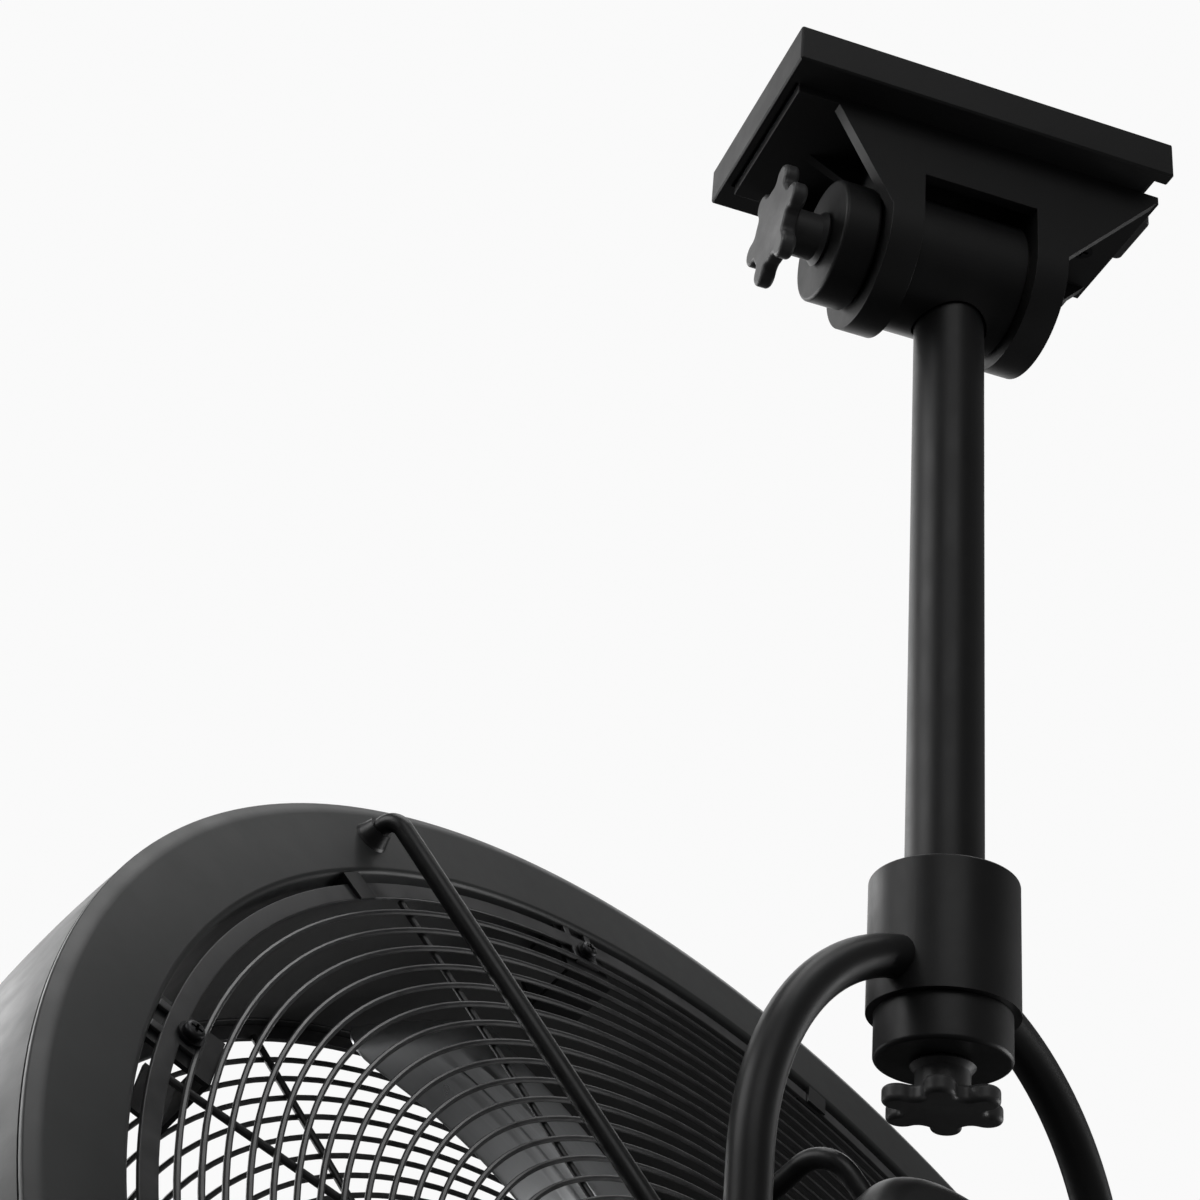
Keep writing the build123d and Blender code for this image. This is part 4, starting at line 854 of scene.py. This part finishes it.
def centre_plate(radius, height):
    """The front guard's plain round centre plate, slightly dished."""
    clear_selection()
    bpy.ops.mesh.primitive_cylinder_add(
        vertices=PLATE_SIDES, radius=radius, depth=PLATE_THICKNESS, location=(0, 0, height))
    plate = bpy.context.object
    bpy.ops.object.transform_apply(location=True, rotation=False, scale=False)
    edit(lambda: bpy.ops.mesh.select_all(action="DESELECT"))
    for face in plate.data.polygons:
        face.select = face.normal.z < FACING_DOWN
    bpy.ops.object.mode_set(mode="EDIT")
    bpy.ops.mesh.select_mode(type="FACE")
    bpy.ops.mesh.inset(thickness=PLATE_BORDER, depth=0)
    bpy.ops.mesh.inset(thickness=PLATE_SLOPE, depth=-PLATE_DISH)
    bpy.ops.object.mode_set(mode="OBJECT")
    bevel(plate, PLATE_EDGE)
    return plate


# The blades: shares of a blade's length, and of half its width for the ribs

BLADE_GRID = (44, 28)
BLADE_EDGE = 0.0004
CORNER_START = 0.90
CORNER_TRIM = 0.23
CORNER_LAG = radians(4.0)
RIB_START = 0.10
RIB_END = 0.93
RIB_FADE_IN = 0.06
RIB_FADE_OUT = 0.05
RIB_LINES = (-0.18, 0.22)
RIB_REACH = 0.09


def blade_sheet():
    """One blade on a grid: long side along the radius, arched across, with two pressed ribs."""
    blade = bpy.context.scene.fan_blade
    along, across = BLADE_GRID
    clear_selection()
    bpy.ops.mesh.primitive_grid_add(x_subdivisions=along, y_subdivisions=across, size=1)
    sheet = bpy.context.object
    for vertex in sheet.data.vertices:
        share = vertex.co.x + 0.5
        side = 2 * vertex.co.y
        vertex.co = blade_point(blade, share, side)
    return sheet


def blade_point(blade, share, side):
    """Place of a blade's point. share runs from root to tip, side from -1 to 1 across."""
    radius = blade.root_radius + share * (blade.tip_radius - blade.root_radius)
    spread = (radius / blade.tip_radius) ** 2
    chord = blade.root_chord + (blade.full_chord - blade.root_chord) * spread**2
    corner = max(0.0, share - CORNER_START) / (1 - CORNER_START)
    width = chord * (1 - CORNER_TRIM * corner**2)
    middle = blade.root_angle + blade.sweep * spread - CORNER_LAG * corner**2
    offset = side * width / 2
    reach = sqrt(max(radius**2 - (width / 2) ** 2, 0.0))
    out = Vector((cos(middle), sin(middle), 0))
    across = Vector((sin(middle), -cos(middle), 0))
    lift = side * blade.rake / 2 + blade.camber * chord / blade.full_chord * (1 - side**2)
    height = blade.middle_height + lift + rib_lift(blade, share, side)
    return out * reach + across * offset + Vector((0, 0, height))


def rib_lift(blade, share, side):
    """Height that the pressed ribs add. They fade in and out along the blade."""
    fade = min(1.0, (share - RIB_START) / RIB_FADE_IN, (RIB_END - share) / RIB_FADE_OUT)
    bulges = [max(0.0, 1 - ((side - line) / RIB_REACH) ** 2) for line in RIB_LINES]
    return max(0.0, fade) * blade.rib_height * sum(bulges)


def build_blades():
    blade = bpy.context.scene.fan_blade
    sheet = blade_sheet()
    solid = sheet.modifiers.new("Sheet", "SOLIDIFY")
    solid.thickness = blade.thickness
    solid.offset = -1
    apply_modifier(sheet, solid)
    bevel(sheet, BLADE_EDGE)
    blades = join(copy_at(sheet, even_turns(blade.count)))
    settle(blades, "fan_blades", "rotor", "blade_metal", "blades", smooth=40)


# The mount, the knuckle and the collar: how wide each node's edges are rounded

SOFT_EDGES = {
    "ceiling_plate": 0.0009,
    "knuckle_bracket": 0.0009,
    "clamp_cap": 0.0004,
    "tilt_barrel": 0.0008,
    "latch_button": 0.0007,
    "swivel_collar": 0.0004,
    "collar_cap": 0.0004,
}


def build_mount():
    record = frame["record"]
    slots = {part["node"]: part["material_slot"] for part in record["subparts"]}
    bodies = {n: body for body, nodes in record["behaviour"]["bodies"].items() for n in nodes}
    for node, width in SOFT_EDGES.items():
        softened(node, width, bodies[node], slots[node])


# Nodes whose finish isn't the one of their slot

ROD_COATED = ("support_rods", "rod_ferrules", "rim_clips", "guard_brackets", "front_clips")
# The drum liner gets a lighter copy of the drum's coat, which paints in the light that falls through the front
# guard
OWN_FINISH = {"drum_liner": "liner_paint_with_painted_light", **{node: "rod_paint" for node in ROD_COATED}}


def dress_nodes():
    """Gives every node that still shows its finish."""
    for part in frame["record"]["subparts"]:
        node = frame["nodes"][part["node"]]
        slot = OWN_FINISH.get(part["node"], part["material_slot"])
        for place in node.material_slots:
            place.material = finish(slot)


# The stage


def build_camera():
    stage = bpy.context.scene.fan_stage
    level_share = cos(stage.pitch)
    forward = Vector((sin(stage.yaw) * level_share, cos(stage.yaw) * level_share, sin(stage.pitch)))
    level = Vector((cos(stage.yaw), -sin(stage.yaw), 0))
    upright = level.cross(forward)
    right = cos(stage.roll) * level + sin(stage.roll) * upright
    up = cos(stage.roll) * upright - sin(stage.roll) * level
    data = bpy.data.cameras.new("view")
    data.sensor_width = stage.sensor
    data.lens = stage.lens
    data.clip_start = 0.01
    camera = bpy.data.objects.new("view", data)
    bpy.context.collection.objects.link(camera)
    turn = Matrix((right, up, -forward)).transposed().to_4x4()
    camera.matrix_world = Matrix.Translation(stage.eye) @ turn
    bpy.context.scene.camera = camera


def background_world(colour, dim):
    """White behind the fan, and a dim room around it for its light."""
    world = bpy.data.worlds.new("studio")
    bpy.context.scene.world = world
    world.use_nodes = True
    tree = world.node_tree
    background = tree.nodes["Background"]
    background.inputs["Color"].default_value = (*colour, 1)
    path = tree.nodes.new("ShaderNodeLightPath")
    strength = tree.nodes.new("ShaderNodeMapRange")
    strength.inputs["To Min"].default_value = dim
    strength.inputs["To Max"].default_value = 1.0
    tree.links.new(path.outputs["Is Camera Ray"], strength.inputs["Value"])
    tree.links.new(strength.outputs["Result"], background.inputs["Strength"])


def floor_material(colour, dim, glow):
    """Pale floor that keeps the fan's shadow and throws little light back up."""
    r = Recipe("stage_floor")
    cloud = r.span(r.noise(r.coordinates(), scale=3.0))
    pale = r.mix(cloud, shade(colour, 0.98), colour)
    seen = r.node("ShaderNodeLightPath").outputs["Is Camera Ray"]
    r.feed("Base Color", r.mix(seen, (dim, dim, dim), pale))
    r.feed("Emission Color", r.mix(seen, (0, 0, 0), pale))
    r.set(Roughness=0.8, Emission_Strength=glow)
    return r.material


def build_floor():
    stage = bpy.context.scene.fan_stage
    clear_selection()
    bpy.ops.mesh.primitive_plane_add(size=stage.floor_size, location=(0, 0, stage.floor_height))
    floor = bpy.context.object
    floor.name = "floor"
    floor.data.materials.append(floor_material(stage.backdrop, stage.dim, stage.floor_glow))


# Each soft box: its name, place, aim, width and height in metres, and power in watts

FAN_MIDDLE = (0, 0, -0.35)
DRUM_LEFT = (-0.2, 0.0, -0.5)
SOFT_BOXES = (
    ("back_light", (0.1, 2.3, 1.0), FAN_MIDDLE, (3.4, 2.2), 28),
    ("left_light", (-2.2, 0.0, 1.0), FAN_MIDDLE, (1.5, 1.5), 18),
    ("left_back_light", (-1.7, 2.0, 0.0), DRUM_LEFT, (1.8, 2.0), 34),
    ("right_light", (2.1, 0.2, -0.6), FAN_MIDDLE, (1.4, 1.4), 18),
    ("front_light", (-0.5, -2.2, 1.1), FAN_MIDDLE, (1.8, 1.4), 9),
    ("top_light", (0.2, 0.2, 2.5), FAN_MIDDLE, (2.0, 2.0), 28),
)


def soft_light(name, place, aim, size, power):
    """A soft box that the camera doesn't see but glossy surfaces reflect."""
    data = bpy.data.lights.new(name, "AREA")
    data.shape = "RECTANGLE"
    data.size, data.size_y = size
    data.energy = power
    lamp = bpy.data.objects.new(name, data)
    bpy.context.collection.objects.link(lamp)
    lamp.visible_camera = False
    turn = (Vector(aim) - Vector(place)).to_track_quat("-Z", "Y").to_matrix().to_4x4()
    lamp.matrix_world = Matrix.Translation(place) @ turn


def build_stage():
    stage = bpy.context.scene.fan_stage
    bpy.context.scene.view_settings.view_transform = "Standard"
    build_camera()
    background_world(stage.backdrop, stage.dim)
    build_floor()
    for box in SOFT_BOXES:
        soft_light(*box)


# Operators, one for each piece or group of like pieces


class FAN_OT_drum(bpy.types.Operator):
    """Build both rims and the drum's outer wall"""

    bl_idname = "fan.drum"
    bl_label = "Drum"

    def execute(self, context):
        build_drum()
        return {"FINISHED"}


class FAN_OT_rear_guard(bpy.types.Operator):
    """Build the rear guard from round wires"""

    bl_idname = "fan.rear_guard"
    bl_label = "Rear Guard"

    def execute(self, context):
        build_rear_guard()
        return {"FINISHED"}


class FAN_OT_front_guard(bpy.types.Operator):
    """Build the front guard from round wires"""

    bl_idname = "fan.front_guard"
    bl_label = "Front Guard"

    def execute(self, context):
        build_front_guard()
        return {"FINISHED"}


class FAN_OT_blades(bpy.types.Operator):
    """Build the arched blades with their ribs"""

    bl_idname = "fan.blades"
    bl_label = "Blades"

    def execute(self, context):
        build_blades()
        return {"FINISHED"}


class FAN_OT_mount(bpy.types.Operator):
    """Round the edges of the ceiling mount, the knuckle and the collar"""

    bl_idname = "fan.mount"
    bl_label = "Ceiling Mount"

    def execute(self, context):
        build_mount()
        return {"FINISHED"}


class FAN_OT_finishes(bpy.types.Operator):
    """Give every plain node its finish"""

    bl_idname = "fan.finishes"
    bl_label = "Finishes"

    def execute(self, context):
        dress_nodes()
        return {"FINISHED"}


class FAN_OT_stage(bpy.types.Operator):
    """Set up the camera, the pale floor and the soft light"""

    bl_idname = "fan.stage"
    bl_label = "Stage"

    def execute(self, context):
        build_stage()
        return {"FINISHED"}


OPERATORS = (
    FAN_OT_stage,
    FAN_OT_drum,
    FAN_OT_rear_guard,
    FAN_OT_front_guard,
    FAN_OT_blades,
    FAN_OT_mount,
    FAN_OT_finishes,
)


class FAN_PT_panel(bpy.types.Panel):
    bl_idname = "FAN_PT_panel"
    bl_label = "Drum Fan"
    bl_space_type = "VIEW_3D"
    bl_region_type = "UI"
    bl_category = "Drum Fan"

    def draw(self, context):
        column = self.layout.column(align=True)
        for operator in OPERATORS:
            column.operator(operator.bl_idname)
        for name, group in GROUPS.items():
            box = self.layout.box()
            settings = getattr(context.scene, name)
            for prop in group.__annotations__:
                box.prop(settings, prop)


def register():
    for name, group in GROUPS.items():
        bpy.utils.register_class(group)
        setattr(bpy.types.Scene, name, PointerProperty(type=group))
    for operator in OPERATORS:
        bpy.utils.register_class(operator)
    bpy.utils.register_class(FAN_PT_panel)


def unregister():
    bpy.utils.unregister_class(FAN_PT_panel)
    for operator in reversed(OPERATORS):
        bpy.utils.unregister_class(operator)
    for name, group in reversed(GROUPS.items()):
        delattr(bpy.types.Scene, name)
        bpy.utils.unregister_class(group)


def main():
    register()
    bpy.ops.fan.stage()
    bpy.ops.fan.drum()
    bpy.ops.fan.rear_guard()
    bpy.ops.fan.front_guard()
    bpy.ops.fan.blades()
    bpy.ops.fan.mount()
    bpy.ops.fan.finishes()


if __name__ == "__main__":
    main()
